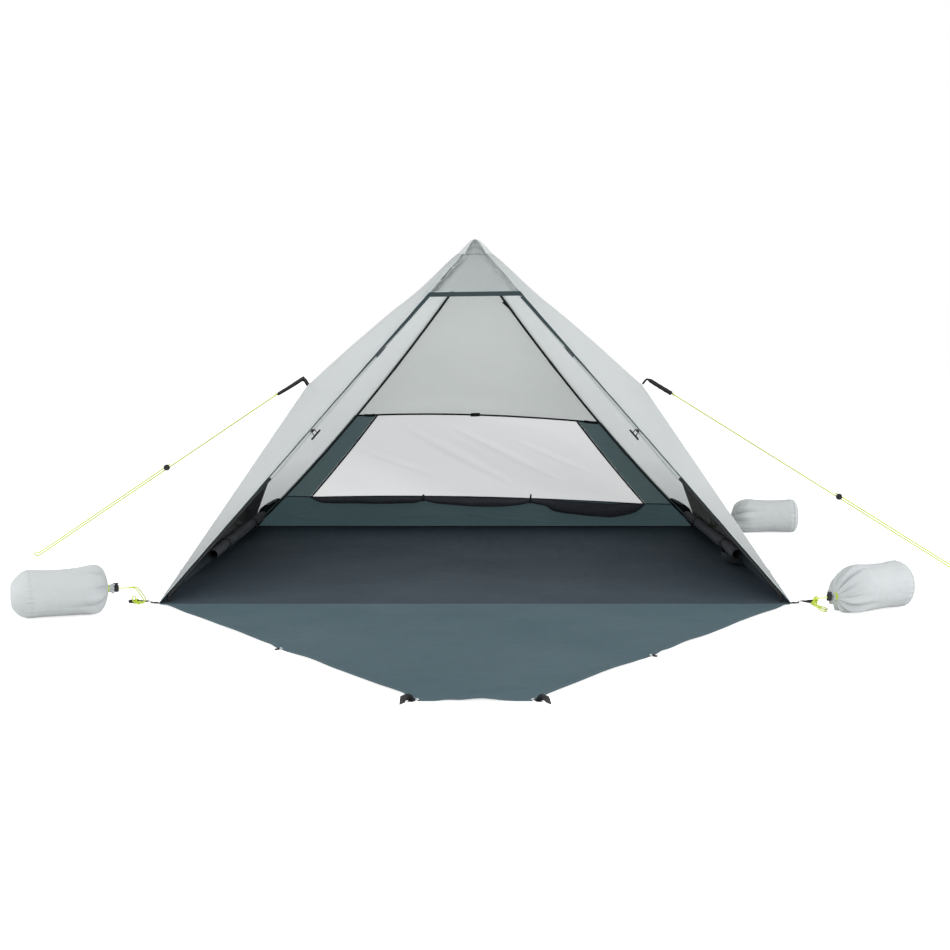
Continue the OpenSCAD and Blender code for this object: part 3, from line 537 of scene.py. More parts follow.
def cloth_material(name, color, shade, amount=0.6, pitch=0.0007, depth=0.00008, roughness=0.6,
                   sheen=0.03, through=0.0, creases=0.0, crease_scale=6.0, specular=0.2,
                   stitches=None, low=None, rumple=0.0):
    """Coated woven cloth. through is the share of light that comes through from behind, low is
    (height, shade) for cloth that is soiled near the ground, rumple is for gathered seams."""
    g, shader, output = new_material(name)
    uv, place = g.uv(), g.place()
    tone = g.group(TONE, {"Vector": place, "Color": srgb(*color), "Shade": srgb(*shade),
                          "Amount": amount})
    tint = g.out(tone, "Color")
    if low:
        tint = g.brighten(tint, g.ramp(g.parts(place)[2], 0.02, low[0], low[1], 1.0))
    if rumple:
        gathers, near = ridge_gathers(g, place)
        tint = g.brighten(tint, 1.0 - near * g.ramp(gathers, 0.42, 0.58, rumple, 0.0))
    weave = g.group(WEAVE, {"Vector": uv, "Pitch": pitch})
    normal = g.bump(g.out(weave, "Height"), depth, 0.6)
    if creases:
        mapped = g.out(g.node("Mapping", {"Vector": place,
                                          "Scale": tuple(np.broadcast_to(crease_scale, 3))}))
        normal = g.bump(g.noise(mapped, 1.0, 5.0, 0.55, 0.4), creases, 1.0, Normal=normal)
    if rumple:
        normal = g.bump(gathers * near, 0.006, 1.0, Normal=normal)
    face, raised = stitch_rows(g, tint, normal, uv, *stitches) if stitches else (tint, normal)
    g.fill(shader, {"Base Color": face, "Normal": raised, "Sheen Weight": sheen,
                    "Sheen Roughness": 0.5, "Specular IOR Level": specular,
                    "Roughness": g.out(tone, "Value") * roughness})
    if through:
        behind = g.node("BsdfTranslucent", {"Color": tint, "Normal": normal})
        mixed = g.node("MixShader", {0: through, 1: g.out(shader), 2: g.out(behind)})
        g.fill(output, {"Surface": g.out(mixed)})


def cord_material(name, color, dark, pitch=0.0045, strands=6.0, depth=0.0003):
    g, shader, _ = new_material(name)
    height = g.out(g.group(BRAID, {"Vector": g.uv(), "Pitch": pitch, "Strands": strands}))
    g.fill(shader, {"Base Color": g.mix(g.ramp(height, 0.0, 0.5), srgb(*dark), srgb(*color)),
                    "Roughness": 0.55, "Sheen Weight": 0.2,
                    "Normal": g.bump(height, depth, 0.8)})


def plastic_material(name, shade, roughness=0.5, scale=900.0, metallic=0.0, specular=0.5):
    """Moulded plastic, or plated metal, with a fine grain and slight handling marks."""
    g, shader, _ = new_material(name)
    color, place = srgb(*shade), g.place()
    worn = tuple(min(1.0, c * 1.35 + 0.012) for c in color[:3]) + (1.0,)
    marks, grain = g.noise(place, 45.0, 4.0), g.noise(place, scale, 3.0)
    g.fill(shader, {"Base Color": g.mix(g.ramp(marks, 0.45, 0.75), color, worn),
                    "Roughness": g.ramp(marks, 0.3, 0.7, roughness * 0.85, roughness * 1.2),
                    "Metallic": metallic, "Specular IOR Level": specular,
                    "Normal": g.bump(grain, 0.00006, 0.5)})


def film_material(name, haze, streak, low, high):
    """A clear film with a slight haze. Soft diagonal bands are where its creases catch light."""
    g, shader, _ = new_material(name)
    place = g.place()
    x, _, z = g.parts(place)
    lean = x * 0.62 + z * 1.5 + g.noise(place, 1.6, 2.0) * 0.18
    wave = g.math("SINE", lean * 5.0 - 1.6) * 0.85 + g.math("SINE", lean * 21.0) * 0.15
    sheen, fine = g.ramp(wave, -1.0, 1.0), g.noise(place, 4.0, 1.0)
    g.fill(shader, {"Base Color": g.mix(sheen, srgb(*haze), srgb(*streak)),
                    "Alpha": g.ramp(sheen, 0.0, 1.0, low, high),
                    "Roughness": g.ramp(fine, 0.3, 0.7, 0.36, 0.40),
                    "Specular IOR Level": 0.5, "Normal": g.bump(fine, 0.0004, 0.3)})


def net_material(name, color, pitch, least):
    """Fine insect netting: a weave whose gaps let some light through."""
    g, shader, _ = new_material(name)
    weave = g.group(WEAVE, {"Vector": g.uv(), "Pitch": pitch})
    shade = tuple(c * 0.7 for c in srgb(*color)[:3]) + (1.0,)
    tone = g.group(TONE, {"Vector": g.place(), "Color": srgb(*color), "Amount": 0.4,
                          "Shade": shade})
    g.fill(shader, {"Base Color": g.out(tone, "Color"), "Roughness": 0.75,
                    "Alpha": g.ramp(g.out(weave, "Gap"), 0.3, 0.6, least, 1.0),
                    "Specular IOR Level": 0.15,
                    "Normal": g.bump(g.out(weave, "Height"), 0.0003, 0.6)})


print("material helpers ready")

# %% Materials
# Each cloth has its colour and a second shade that it drifts to, then what sets it apart.
HEAVY = {"roughness": 0.7, "specular": 0.1, "sheen": 0.0}
for name, color, shade, rest in (
        ("canopy cloth", (244, 248, 248), (237, 241, 241),
         dict(amount=0.5, through=0.48, creases=0.004, crease_scale=5, low=(0.36, 0.68),
              rumple=0.16)),
        ("rear wall cloth", (230, 235, 232), (222, 228, 225),
         dict(amount=0.5, through=0.46, creases=0.005, crease_scale=4)),
        ("sleeve cloth", (226, 231, 231), (216, 221, 221), dict(amount=0.5, through=0.3)),
        ("seam cloth", (244, 248, 248), (234, 239, 239),
         dict(amount=0.5, through=0.6, stitches=(0.0016, (222, 228, 228)))),
        ("cap cloth", (236, 240, 240), (224, 229, 229),
         dict(through=0.3, creases=0.003, crease_scale=26)),
        ("visor cloth", (188, 194, 194), (176, 182, 182),
         dict(amount=0.5, through=0.30, creases=0.004, crease_scale=9, rumple=0.60)),
        ("teal cloth", (86, 108, 112), (76, 98, 102),
         dict(creases=0.005, crease_scale=(5, 5, 14), through=0.35, sheen=0.02)),
        ("strip cloth", (98, 117, 119), (88, 107, 110),
         dict(creases=0.004, crease_scale=9, through=0.40, sheen=0.02)),
        ("binding cloth", (48, 62, 66), (40, 53, 57),
         dict(amount=0.4, stitches=(0.0024, (88, 104, 108)), sheen=0.02)),
        ("door cloth", (78, 98, 105), (71, 91, 98), dict(creases=0.006, crease_scale=4, **HEAVY)),
        ("hem cloth", (80, 99, 106), (72, 91, 98),
         dict(amount=0.5, stitches=(0.0022, (126, 143, 149)), **HEAVY)),
        ("floor cloth", (60, 70, 78), (53, 63, 71), dict(creases=0.005, crease_scale=5, **HEAVY)),
        ("dark cloth", (42, 44, 49), (33, 35, 40),
         dict(creases=0.004, crease_scale=(12, 12, 30), roughness=0.7, sheen=0.02)),
        ("roll cloth", (51, 54, 60), (38, 41, 47),
         dict(amount=0.7, creases=0.003, crease_scale=(10, 60, 60), roughness=0.65, sheen=0.05)),
        ("pouch cloth", (54, 59, 62), (42, 47, 50),
         dict(creases=0.003, crease_scale=30, sheen=0.02)),
        ("side band cloth", (52, 64, 72), (42, 53, 61), dict(through=0.06, creases=0.004)),
        ("bag cloth", (196, 201, 202), (184, 189, 190),
         dict(amount=0.5, creases=0.003, crease_scale=18)),
        ("black tape", (30, 31, 34), (20, 21, 24),
         dict(pitch=0.0011, depth=0.0002, roughness=0.65, sheen=0.04,
              stitches=(0.0014, (52, 54, 58)))),
        ("webbing weave", (32, 33, 36), (21, 22, 25),
         dict(pitch=0.0016, depth=0.0004, sheen=0.06, stitches=(0.0040, (60, 62, 66))))):
    cloth_material(name, color, shade, **rest)
cord_material("plain webbing", (30, 31, 33), (14, 15, 16), pitch=0.003, strands=1.0)
cord_material("lime cord", (194, 218, 44), (184, 208, 38), depth=0.00010)
plastic_material("black plastic", (17, 18, 20), specular=0.3)
plastic_material("grey plastic", (34, 36, 39), specular=0.3)
plastic_material("plated steel", (205, 207, 210), roughness=0.22, metallic=1.0, scale=300.0)
plastic_material("blackened tube", (58, 59, 62), roughness=0.35, metallic=0.6, scale=400.0)
plastic_material("pole black", (20, 21, 23), roughness=0.4, scale=400.0, specular=0.35)
plastic_material("shock cord", (40, 41, 44), roughness=0.7)
film_material("window film", (204, 213, 221), (236, 241, 246), 0.50, 0.62)
net_material("side net", (19, 22, 26), 0.0016, 0.95)
FINISHES = {
    "outer_fabric": "canopy cloth", "visor_fabric": "visor cloth", "teal_fabric": "teal cloth",
    "door_fabric": "door cloth", "dark_fabric": "dark cloth", "window_film": "window film",
    "webbing": "plain webbing", "cord": "lime cord", "sandbag_fabric": "bag cloth",
    "ring_steel": "plated steel", "pole": "pole black", "ferrule": "blackened tube",
    "shock_cord": "shock cord", "black_plastic": "black plastic",
    "plunger_plastic": "grey plastic",
}
for entry in RECORD["subparts"]:
    paint(NODES[entry["node"]], FINISHES[entry["material_slot"]])
print("painted", len(RECORD["subparts"]), "nodes")

# %% [markdown]
# ## Making the cords
# Each cord replaces its CAD tube and rides on the shelter.

# %% Make the cords
def add_cord(name, node, points, step, diameter, far_end, lay, *fittings):
    route = smooth_route(np.array(points) * MM, step)
    cord = tube_object(name, route, diameter / 2, sides=10)
    wear(cord, ["lime cord"], [node])


for side, points in GUY_ROUTES.items():
    add_cord(f"{side}_guy", f"{side}_guy_line", points, 0.02, CORD_D, "fitting", "taut",
             f"{side}_guy_slider")
for bag, points in BAG_ROUTES.items():
    add_cord(f"{bag}_tie_cord", f"{bag}_bag_cord", points, 0.004, BAG_CORD_D, "object", "loose",
             f"{bag}_cord_lock", f"{bag}_plunger")

# %% [markdown]
# ## Canopy
# The canopy is one skin of thin coated cloth, sewn from panels that meet on the ridges. The poles
# hold the ridges, and a cord on each side pulls one point outwards. Taut cloth between a straight
# edge and a point hangs in a saddle, so each side panel is a fan of rows from its edge to the
# pull-out point, relaxed as a soap film is, with its edges held. Folds then run from where the
# pull comes in.

# %% Lines of the shelter, in metres
HALF, PEAK, TIP = 1.05, 1.262, 0.006
CROWN_R, CROWN_H, SAG = 0.028, 1.166, 0.040
VISOR_H, VISOR_BAND_H = 1.042, 0.018
SILL_H, HEAD_H, BAND_H = 0.143, 0.530, 0.085
MESH_TOP_H, MESH_BORDER = 0.590, 0.024
PULL, WALL_FOOT = np.array([0.6626, 0.0, 0.7]), np.array([HALF, 0.0, 0.0])
FRONT_CORNER, FRONT_TIP = np.array([HALF, -HALF, 0.0]), np.array([TIP, -TIP, PEAK])
REAR_CORNER, REAR_TIP = np.array([HALF, HALF, 0.0]), np.array([TIP, TIP, PEAK])
CROWN = np.array([CROWN_R, CROWN_R, CROWN_H])


def front_at(z):
    return lerp(FRONT_CORNER, FRONT_TIP, np.asarray(z, float) / PEAK)


def rear_at(z):
    """Place of the rear ridge at a height. It bows in below the hub, and is straight above it."""
    z = np.asarray(z, float)
    angle = math.atan2(CROWN_H, (HALF - CROWN_R) * math.sqrt(2))
    inward = np.array([-math.sin(angle) / math.sqrt(2)] * 2 + [-math.cos(angle)])
    bow = 4 * SAG * math.cos(angle)
    low = np.minimum(z, CROWN_H)
    u = (np.sqrt((CROWN_H - bow) ** 2 + 4 * bow * low) - CROWN_H + bow) / (2 * bow)
    bent = lerp(REAR_CORNER, CROWN, u) + inward * np.asarray(4 * SAG * u * (1 - u))[..., None]
    straight = lerp(CROWN, REAR_TIP, (z - CROWN_H) / (PEAK - CROWN_H))
    return np.where(np.asarray(z > CROWN_H)[..., None], straight, bent)


def sill(u):
    """Height of the window's sill from ridge to ridge, u from -1 to 1. Both lines run down to the
    right, because the stretched wall never hangs quite square, and arch a little in the middle."""
    u = np.asarray(u, float)
    return SILL_H - 0.0017 - 0.0209 * u + 0.018 * np.maximum(0, 1 - (u / 0.82) ** 2)


def head(u):
    """Height of the window's head."""
    u = np.asarray(u, float)
    return HEAD_H + 0.0265 - 0.0168 * u - 0.0205 * u**2


def on_rear(u, z):
    """Point of the rear wall at a share u from its middle line to a ridge, at a height."""
    ridge = rear_at(z)
    return ridge * np.stack([np.asarray(u) + 0 * z, 1 + 0 * z, 1 + 0 * z], axis=-1)


def heights(count, low, high, *kept):
    """Even steps between two heights, with the kept ones among them."""
    even = np.linspace(low, high, count)
    step = (high - low) / (count - 1)
    even = [z for z in even if all(abs(z - k) > step * 0.4 for k in kept)]
    return np.array(sorted(even + [k for k in kept if low <= k <= high]))


def mirrored(rows):
    return rows * [-1, 1, 1]


def seam_at(corner, height):
    """Point at a height on the seam from a corner, or from the wall's foot, to the pull-out."""
    return lerp(corner, PULL, height / PULL[2])


FRONT_Z = heights(100, 0, PEAK, 0.0, VISOR_H, VISOR_H + VISOR_BAND_H, PEAK)
REAR_Z = heights(100, 0, PEAK, 0.0, SILL_H, HEAD_H, CROWN_H, PEAK)
FAN_W = heights(84, 0, 1, 0.0, BAND_H / PULL[2], MESH_TOP_H / PULL[2], 1.0)
print("fan:", len(FRONT_Z) + len(REAR_Z) + 1, "by", len(FAN_W))


# %% Relaxing and folding a sheet
def relax(rows, passes):
    """Moves the inside of a grid towards the mean of its neighbours. Its edges stay."""
    p = rows.copy()
    for _ in range(passes):
        mean = (p[:-2, 1:-1] + p[2:, 1:-1] + p[1:-1, :-2] + p[1:-1, 2:]) / 4
        p[1:-1, 1:-1] += (mean - p[1:-1, 1:-1]) / 2
    return p


def grid_normals(rows, outward_from=CABIN):
    """Unit normals of a grid, all on the side away from a point."""
    du, dv = np.gradient(rows, axis=1), np.gradient(rows, axis=0)
    n = np.cross(du, dv)
    size = np.linalg.norm(n, axis=-1, keepdims=True)
    n = n / np.maximum(size, 1e-12)
    away = np.sum(n * (rows - outward_from), axis=-1, keepdims=True)
    return np.where(away < 0, -n, n)


def push(rows, move, outward_from=CABIN):
    """The grid with each point moved along its normal."""
    return rows + grid_normals(rows, outward_from) * move[..., None]


def fold(points, start, direction, length, width, depth):
    """Depth of one fold: a groove with raised sides, widest in its middle and ending in points."""
    start, direction = np.asarray(start, float), unit(direction)
    along = np.clip((points - start) @ direction / length, 0, 1)
    nearest = start + (along * length)[..., None] * direction
    across = np.linalg.norm(points - nearest, axis=-1)
    swell = np.sin(math.pi * np.clip(along, 0.02, 0.98)) ** 0.6
    x = across / (width * (0.35 + 0.65 * swell))
    return -depth * swell * (1 - 1.1 * x**2) * bell(x)


def wall_folds(points, table, lean):
    """Folds in the rear wall. Each row has x and height, a direction in both, and the fold's
    length, width and depth."""
    return sum(fold(points, [x, rear_at(z)[1], z], [dx, lean * dz, dz], *sizes)
               for x, z, dx, dz, *sizes in table)


def flat_folds(points, table, height):
    """The same for a sheet on the ground, with places in x and y."""
    return sum(fold(points, (x, y, height), (dx, dy, 0), *sizes)
               for x, y, dx, dy, *sizes in table)


def grid(rows, columns, first=0):
    """The share down a grid and the share across it, from 0 or from -1 to 1."""
    return np.meshgrid(np.linspace(0, 1, rows), np.linspace(first, 1, columns), indexing="ij")


def held(share, steepness):
    """0 at both ends of a stretch and 1 in its middle."""
    return ease(np.sin(math.pi * share) * steepness)


def edge_mask(rows, *paths, clear=0.03, reach=0.08):
    """0 near the given lines and 1 beyond their reach."""
    mask = np.ones(rows.shape[:2])
    for path in paths:
        mask = mask * ease((distance_to_path(rows, path)[0] - clear) / reach)
    return mask


print("sheet helpers ready")


# %% Side panels
def side_fan(seed):
    """Right-hand side panel: rows from the ridges (first) to the pull-out point (last)."""
    edge = np.vstack([front_at(FRONT_Z), [[TIP, 0, PEAK]], rear_at(REAR_Z[::-1])])
    flat = np.array([lerp(edge, PULL, w) for w in FAN_W])
    # The cloth runs over the reinforced patch in one curve instead of a crease.
    film = relax(flat, 260)
    film = lerp(film, flat, ease((film[..., 2] - 1.02) / 0.12))
    n = grid_normals(film)
    w = np.repeat(FAN_W[:, None], film.shape[1], axis=1)
    t = np.repeat(np.linspace(0, 1, film.shape[1])[None, :], film.shape[0], axis=0)
    hold = edge_mask(film, edge[: len(FRONT_Z)], edge[len(FRONT_Z):], [edge[0], PULL],
                     [edge[-1], PULL])
    move = 0.004 * soft_noise(film, 2.4, seed) + 0.0012 * soft_noise(film, 9.0, seed + 5)
    rays = 0
    for k, (at, wide) in enumerate(((0.12, 0.030), (0.23, 0.024), (0.36, 0.03), (0.52, 0.02),
                                    (0.66, 0.03), (0.8, 0.025))):
        spread = wide * (0.3 + 0.9 * (1 - w))
        rays = rays + bell(t - at, spread) * (0.7 + 0.5 * math.sin(7 * k + seed))
    move = move + 0.004 * rays * w**1.6 * (1 - w) ** 0.5
    fold_line = bell(t - len(FRONT_Z) / film.shape[1], 0.16)
    lift = BULGE * fold_line * np.sin(math.pi * w**0.8) ** 1.2
    return film + n * (move * hold + lift * ease(np.minimum(w, 1 - w) / 0.08))[..., None]


def lower_wall(front):
    """Fabric border beside the mesh window, from the side seam to the middle of the wall."""
    corner = FRONT_CORNER if front else REAR_CORNER
    sign = -1 if front else 1
    band = seam_at(corner, BAND_H)
    mesh_low = band - [0, sign * MESH_BORDER, 0]
    mesh_top = seam_at(WALL_FOOT, MESH_TOP_H)
    rows = []
    for w in FAN_W[FAN_W >= BAND_H / PULL[2] - 1e-9]:
        seam = lerp(corner, PULL, w)
        z = w * PULL[2]
        if z <= MESH_TOP_H:
            inner = lerp(mesh_low, mesh_top, (z - BAND_H) / (MESH_TOP_H - BAND_H))
        else:
            inner = lerp(WALL_FOOT, PULL, w)
        rows.append(lerp(seam, inner, np.linspace(0, 1, 6)))
    return np.array(rows)


BULGE = 0.012
upper_z = REAR_Z[REAR_Z >= HEAD_H - 1e-9]
upper_u = grid(len(upper_z), 90, -1)[1]
drift = (head(upper_u) - HEAD_H) * ease(1 - (upper_z[:, None] - HEAD_H) / 0.30)
upper = on_rear(upper_u, upper_z[:, None] + drift)
hold = edge_mask(upper, rear_at(upper_z), mirrored(rear_at(upper_z)), upper[0], clear=0.02)
swell = 0.010 * np.sin(math.pi * np.linspace(0, 1, 90))
move = swell[None, :] * hold + hold * (0.005 * soft_noise(upper, 3.0, 11.3)
                                       + 0.0015 * soft_noise(upper, 9.0, 4.1))
for at, towards, long, wide, deep in (
        ((-0.16, 0.30, 0.93), (-0.35, 0.3, -0.8), 0.30, 0.016, 0.004),
        ((0.12, 0.26, 0.98), (0.45, 0.3, -0.8), 0.26, 0.014, 0.004),
        ((0.34, 0.58, 0.62), (-0.9, 0.06, 0.12), 0.30, 0.020, 0.003),
        ((-0.40, 0.58, 0.60), (0.9, 0.02, 0.2), 0.26, 0.018, 0.003)):
    move = move + hold * fold(upper, at, towards, long, wide, deep)
upper = push(upper, move)

visor_z = FRONT_Z[FRONT_Z >= VISOR_H + VISOR_BAND_H - 1e-9]
left_seam, right_seam = mirrored(front_at(visor_z)), front_at(visor_z)
visor = np.array([lerp(a, b, np.linspace(0, 1, 61)) for a, b in zip(left_seam, right_seam)])
from_left = distance_to_path(visor, left_seam)[0]
from_right = distance_to_path(visor, right_seam)[0]
hold = ease(np.minimum(from_left, from_right) / 0.006) * ease(
    (visor[..., 2] - VISOR_H - VISOR_BAND_H) / 0.012)
# A wide soft pleat lies along the left seam, and short puckers run into the right one.
below_hub = ease((1.185 - visor[..., 2]) / 0.03)
move = -0.0085 * bell(from_left - 0.015, 0.008) * below_hub
move = move + 0.006 * bell(from_left - 0.034, 0.010) * below_hub
for place, long, wide, deep in ((0.03, 0.055, 0.0050, 0.0065), (0.075, 0.045, 0.0045, 0.0060),
                                (0.115, 0.055, 0.0055, 0.0065), (0.150, 0.035, 0.0040, 0.0050)):
    root = lerp(right_seam[0], right_seam[-1], place / 0.29)
    move = move + fold(visor, root + [0.004, -0.002, 0.0], (-0.75, -0.1, 0.62), long, wide, deep)
    move = move + 0.5 * fold(visor, root + [0.0, 0, 0.008], (-0.9, -0.1, 0.35), long, wide, deep)
near_seam = np.minimum(from_left, from_right)
rumple = soft_noise(visor * [1.0, 1.0, 0.55], 85, 6.1) + 0.6 * soft_noise(visor, 150, 1.4)
move = move + 0.0042 * rumple * bell(near_seam, 0.024)
move = move + 0.003 * soft_noise(visor, 9, 2.2) * ease(near_seam / 0.04)
visor = push(visor, move * hold)

right_fan, left_fan = side_fan(3.1), mirrored(side_fan(17.7))
patches = [right_fan, left_fan, (upper, 2), (visor, 1)]
for front in (True, False):
    patches += [lower_wall(front), mirrored(lower_wall(front))]
canopy = cloth_piece("canopy", patches, ["canopy cloth", "visor cloth", "rear wall cloth"],
                     ["front_left_panel", "front_right_panel", "rear_left_panel",
                      "rear_right_panel", "side_lower_panels", "rear_upper_panel", "visor_panel"])

# %% [markdown]
# ## Lower walls, window and trims
# A darker, tougher cloth runs round the foot of the walls and up beside the rear window. The
# window is a clear film with a slight haze, sewn in between black tapes. The trims are narrow
# folded tapes with a row of stitches near each edge.

# %% Ground bands
band_s, band_u = grid(64, 460, -1)
rear_band = on_rear(band_u, 0.0005 + band_s * (sill(band_u) - 0.0005))
creases = (

    (0.50, 0.110, 1, -0.13, 0.44, 0.0075, 0.010), (0.56, 0.086, 1, -0.11, 0.40, 0.007, 0.011),
    (0.62, 0.062, 1, -0.07, 0.34, 0.007, 0.009), (0.40, 0.075, 1, -0.10, 0.30, 0.008, 0.006),
    (-0.10, 0.080, 1, -0.16, 0.34, 0.012, 0.005), (-0.42, 0.05, 1, 0.07, 0.32, 0.013, 0.004),
    (0.10, 0.05, 1, -0.10, 0.30, 0.011, 0.005), (0.74, 0.12, 1, -0.22, 0.22, 0.008, 0.009),
    (-0.72, 0.10, -1, -0.25, 0.2, 0.01, 0.006), (-0.86, 0.06, 1, -0.1, 0.3, 0.01, 0.004))
slope = rear_at(SILL_H) - rear_at(0.0)
crease = 0.7 * wall_folds(rear_band, creases, slope[1] / slope[2])
height = rear_band[..., 2] / SILL_H
settle = ease(height * 6) * ease((1 - height) * 6)
crease = crease + 0.002 * (1 + soft_noise(rear_band * [1, 1, 3], 7.0, 8.8))
rear_band = push(rear_band, np.maximum(crease, 0) * settle)


def side_band(seed):
    ys, row_shares = np.linspace(0, 1, 150), np.linspace(0, 1, 14)
    low = lerp(FRONT_CORNER, REAR_CORNER, ys) + [0, 0, 0.0005]
    high = lerp(seam_at(FRONT_CORNER, BAND_H), seam_at(REAR_CORNER, BAND_H), ys)
    rows = np.array([lerp(low, high, s) for s in row_shares])
    up = rows[..., 2] / BAND_H
    move = 0.0012 * (1 + soft_noise(rows * [1, 1, 2], 6.0, seed)) * ease(up * 4) * ease(4 - 4 * up)
    move = move * ease(ys / 0.12) * ease((1 - ys) / 0.12)
    return push(rows, move)


cloth_piece("ground_band", [rear_band, (side_band(1.7), 1), (mirrored(side_band(6.1)), 1)],
            ["teal cloth", "side band cloth"], ["ground_bands"])

# %% Window strips, film and dark corners
STRIP_SILL_W, STRIP_HEAD_W, WINDOW_ROWS = 0.131, 0.096, 70


def window_share(s):
    """Where the film ends, as a share u from the middle to a ridge, at s from sill to head."""
    width = STRIP_SILL_W + (STRIP_HEAD_W - STRIP_SILL_W) * s
    return 1 - width / rear_at(SILL_H + (HEAD_H - SILL_H) * s)[..., 0]


def window_part(u_from, u_to, columns):
    """Rows of the window's level between two shares, each a function of s."""
    s = np.linspace(0, 1, WINDOW_ROWS)[:, None]
    u = u_from(s) + (u_to(s) - u_from(s)) * np.linspace(0, 1, columns)[None, :]
    return on_rear(u, sill(u) + (head(u) - sill(u)) * s)


def ridge_share(s):
    return 1 + 0 * s


down, across = grid(WINDOW_ROWS, 24)
hold = held(across, 2) * held(down, 4)
both_strips = []
for sign in (1, -1):
    strip = window_part(lambda s: sign * window_share(s), lambda s: sign * ridge_share(s), 24)
    move = hold * (0.003 * soft_noise(strip, 8.0, 3.3 + sign) + 0.002)
    both_strips.append(push(strip, move))
cloth_piece("window_strip", both_strips, ["strip cloth"], ["window_side_strips"])

pane = window_part(lambda s: -window_share(s), window_share, 140)
up, across = grid(WINDOW_ROWS, 140)
move = 0.004 * np.sin(9 * (across + 0.55 * up)) + 0.003 * soft_noise(pane, 4.0, 7.7)
creases = ((-0.30, 0.50, 0.85, -0.5, 0.62, 0.030, 0.005),
           (-0.10, 0.50, 0.85, -0.45, 0.60, 0.026, 0.005),
           (0.16, 0.45, 0.9, -0.42, 0.50, 0.022, 0.004),
           (-0.52, 0.40, 0.9, -0.35, 0.42, 0.022, 0.003))
move = move + wall_folds(pane, creases, -0.9)
pane = push(pane, move * (held(across, 3) * held(up, 3)))
cloth_piece("window_pane", [pane], ["window film"], ["rear_window_film"])


def corner_hump():
    """Dark cloth inside the rear corner, from the mesh window's foot to the window's sill."""
    a = np.linspace(0, 1, 30)
    ridge_top, seam_top = rear_at(SILL_H + 0.004), lerp(REAR_CORNER, PULL, 0.150)
    top = lerp(ridge_top, seam_top, a)
    top = top + unit(REAR_TIP - top) * (0.040 * np.sin(math.pi * a) ** 0.7)[:, None]
    rows = np.array([lerp(REAR_CORNER + [0, 0, 0.002], p, np.linspace(0.02, 1, 16)) for p in top])
    n = grid_normals(rows)
    k = np.linspace(0.02, 1, 16)[None, :]
    inward = 0.0022 + 0.004 * np.sin(math.pi * a)[:, None] * k * (1 - 0.8 * k**4)
    return rows - n * inward[..., None]


cloth_piece("corner_hump", [corner_hump(), mirrored(corner_hump())], ["dark cloth"])

# %% Side mesh windows
def mesh_window(seed):
    front = seam_at(FRONT_CORNER, BAND_H) + [0, MESH_BORDER, 0]
    rear = seam_at(REAR_CORNER, BAND_H) - [0, MESH_BORDER, 0]
    top = seam_at(WALL_FOOT, MESH_TOP_H)
    k, across = np.linspace(0, 0.999, 40), np.linspace(0, 1, 90)
    rows = np.array([lerp(lerp(front, top, t), lerp(rear, top, t), across) for t in k])
    hold = held(k, 2)[:, None] * held(across, 3)[None, :]
    move = hold * 0.004 * (soft_noise(rows, 3.5, seed) + 0.8)
    return push(rows, move)


cloth_piece("side_mesh", [mesh_window(2.2), mirrored(mesh_window(5.4))], ["side net"],
            ["side_mesh_windows"])

# %% [markdown]
# Tapes and bindings are ribbons along a path. A binding is folded round a raw edge, so it is
# thicker in the middle than at its sides and stands a little proud on both faces.


# %% Ribbons
def ribbon(path, across, widths, proud=0.0012, shift=0.0, columns=7):
    """Rows of a folded tape. across points over the tape from the path; shift moves it out."""
    path = np.asarray(path, float)
    tangent = unit(np.gradient(path, axis=0))
    across = np.asarray(across, float) * np.ones_like(path)
    across = unit(across - tangent * np.sum(across * tangent, axis=1, keepdims=True))
    normal = unit(np.cross(tangent, across))
    away = np.sum(normal * (path - CABIN), axis=1, keepdims=True)
    normal = np.where(away < 0, -normal, normal)
    widths = np.broadcast_to(np.asarray(widths, float), (len(path),))
    s = np.linspace(0, 1, columns)
    crown = proud * np.sin(math.pi * s) ** 0.5 + 0.0002
    face, back = (
        np.array([[p + a * w * t + n * (shift + side * c) for t, c in list(zip(s, crown))[::side]]
                  for p, a, n, w in zip(path, across, normal, widths)]) for side in (1, -1))
    return np.concatenate([face, back, face[:, :1]], axis=1)


def tape_object(name, ribbons, look, nodes=(), body=BODY):
    return cloth_piece(name, ribbons, [look], nodes, body, away=None, closed=True)


edge_z = np.linspace(0.003, VISOR_H + 0.002, 200)
side_widths = np.interp(edge_z, [0.0, 0.60, 0.725, 0.812, 0.913, VISOR_H],
                        [0.0026, 0.0028, 0.0042, 0.0072, 0.0118, 0.0150]) + 0.0008
wave = 0.0005 * np.sin(np.arange(200) * 0.37) * np.sin(np.arange(200) * 0.111)
edge_path = front_at(edge_z) + [0.0008, 0, 0] + wave[:, None] * [1, 0, 0]
side_binding = ribbon(edge_path, [-1, 0, 0], side_widths, proud=0.0014)
band_x = np.linspace(-1, 1, 90)
low, high = front_at(VISOR_H), front_at(VISOR_H + VISOR_BAND_H)
hang = 0.0025 * band_x - 0.0004
reach = low[0] - 0.0004
band_path = np.stack([band_x * reach, low[1] + 0 * band_x, low[2] + hang], axis=1)
band_up = high * [0, 1, 1] - low * [0, 1, 1]
visor_band = ribbon(band_path, band_up, np.linalg.norm(band_up), proud=0.0018)
ends = np.array([front_at(z)[0] for z in visor_band[..., 2].ravel()]).reshape(
    visor_band.shape[:-1]) + 0.0012
visor_band[..., 0] = np.clip(visor_band[..., 0], -ends, ends)
tape_object("opening_trim", [side_binding, mirrored(side_binding), visor_band], "binding cloth",
            ["opening_binding"])

TAPE_W = 0.008
INSIDE = -0.0016
levels = np.linspace(0, 1, 80)


def on_window_line(u, s):
    return on_rear(u, sill(u) + (head(u) - sill(u)) * s)


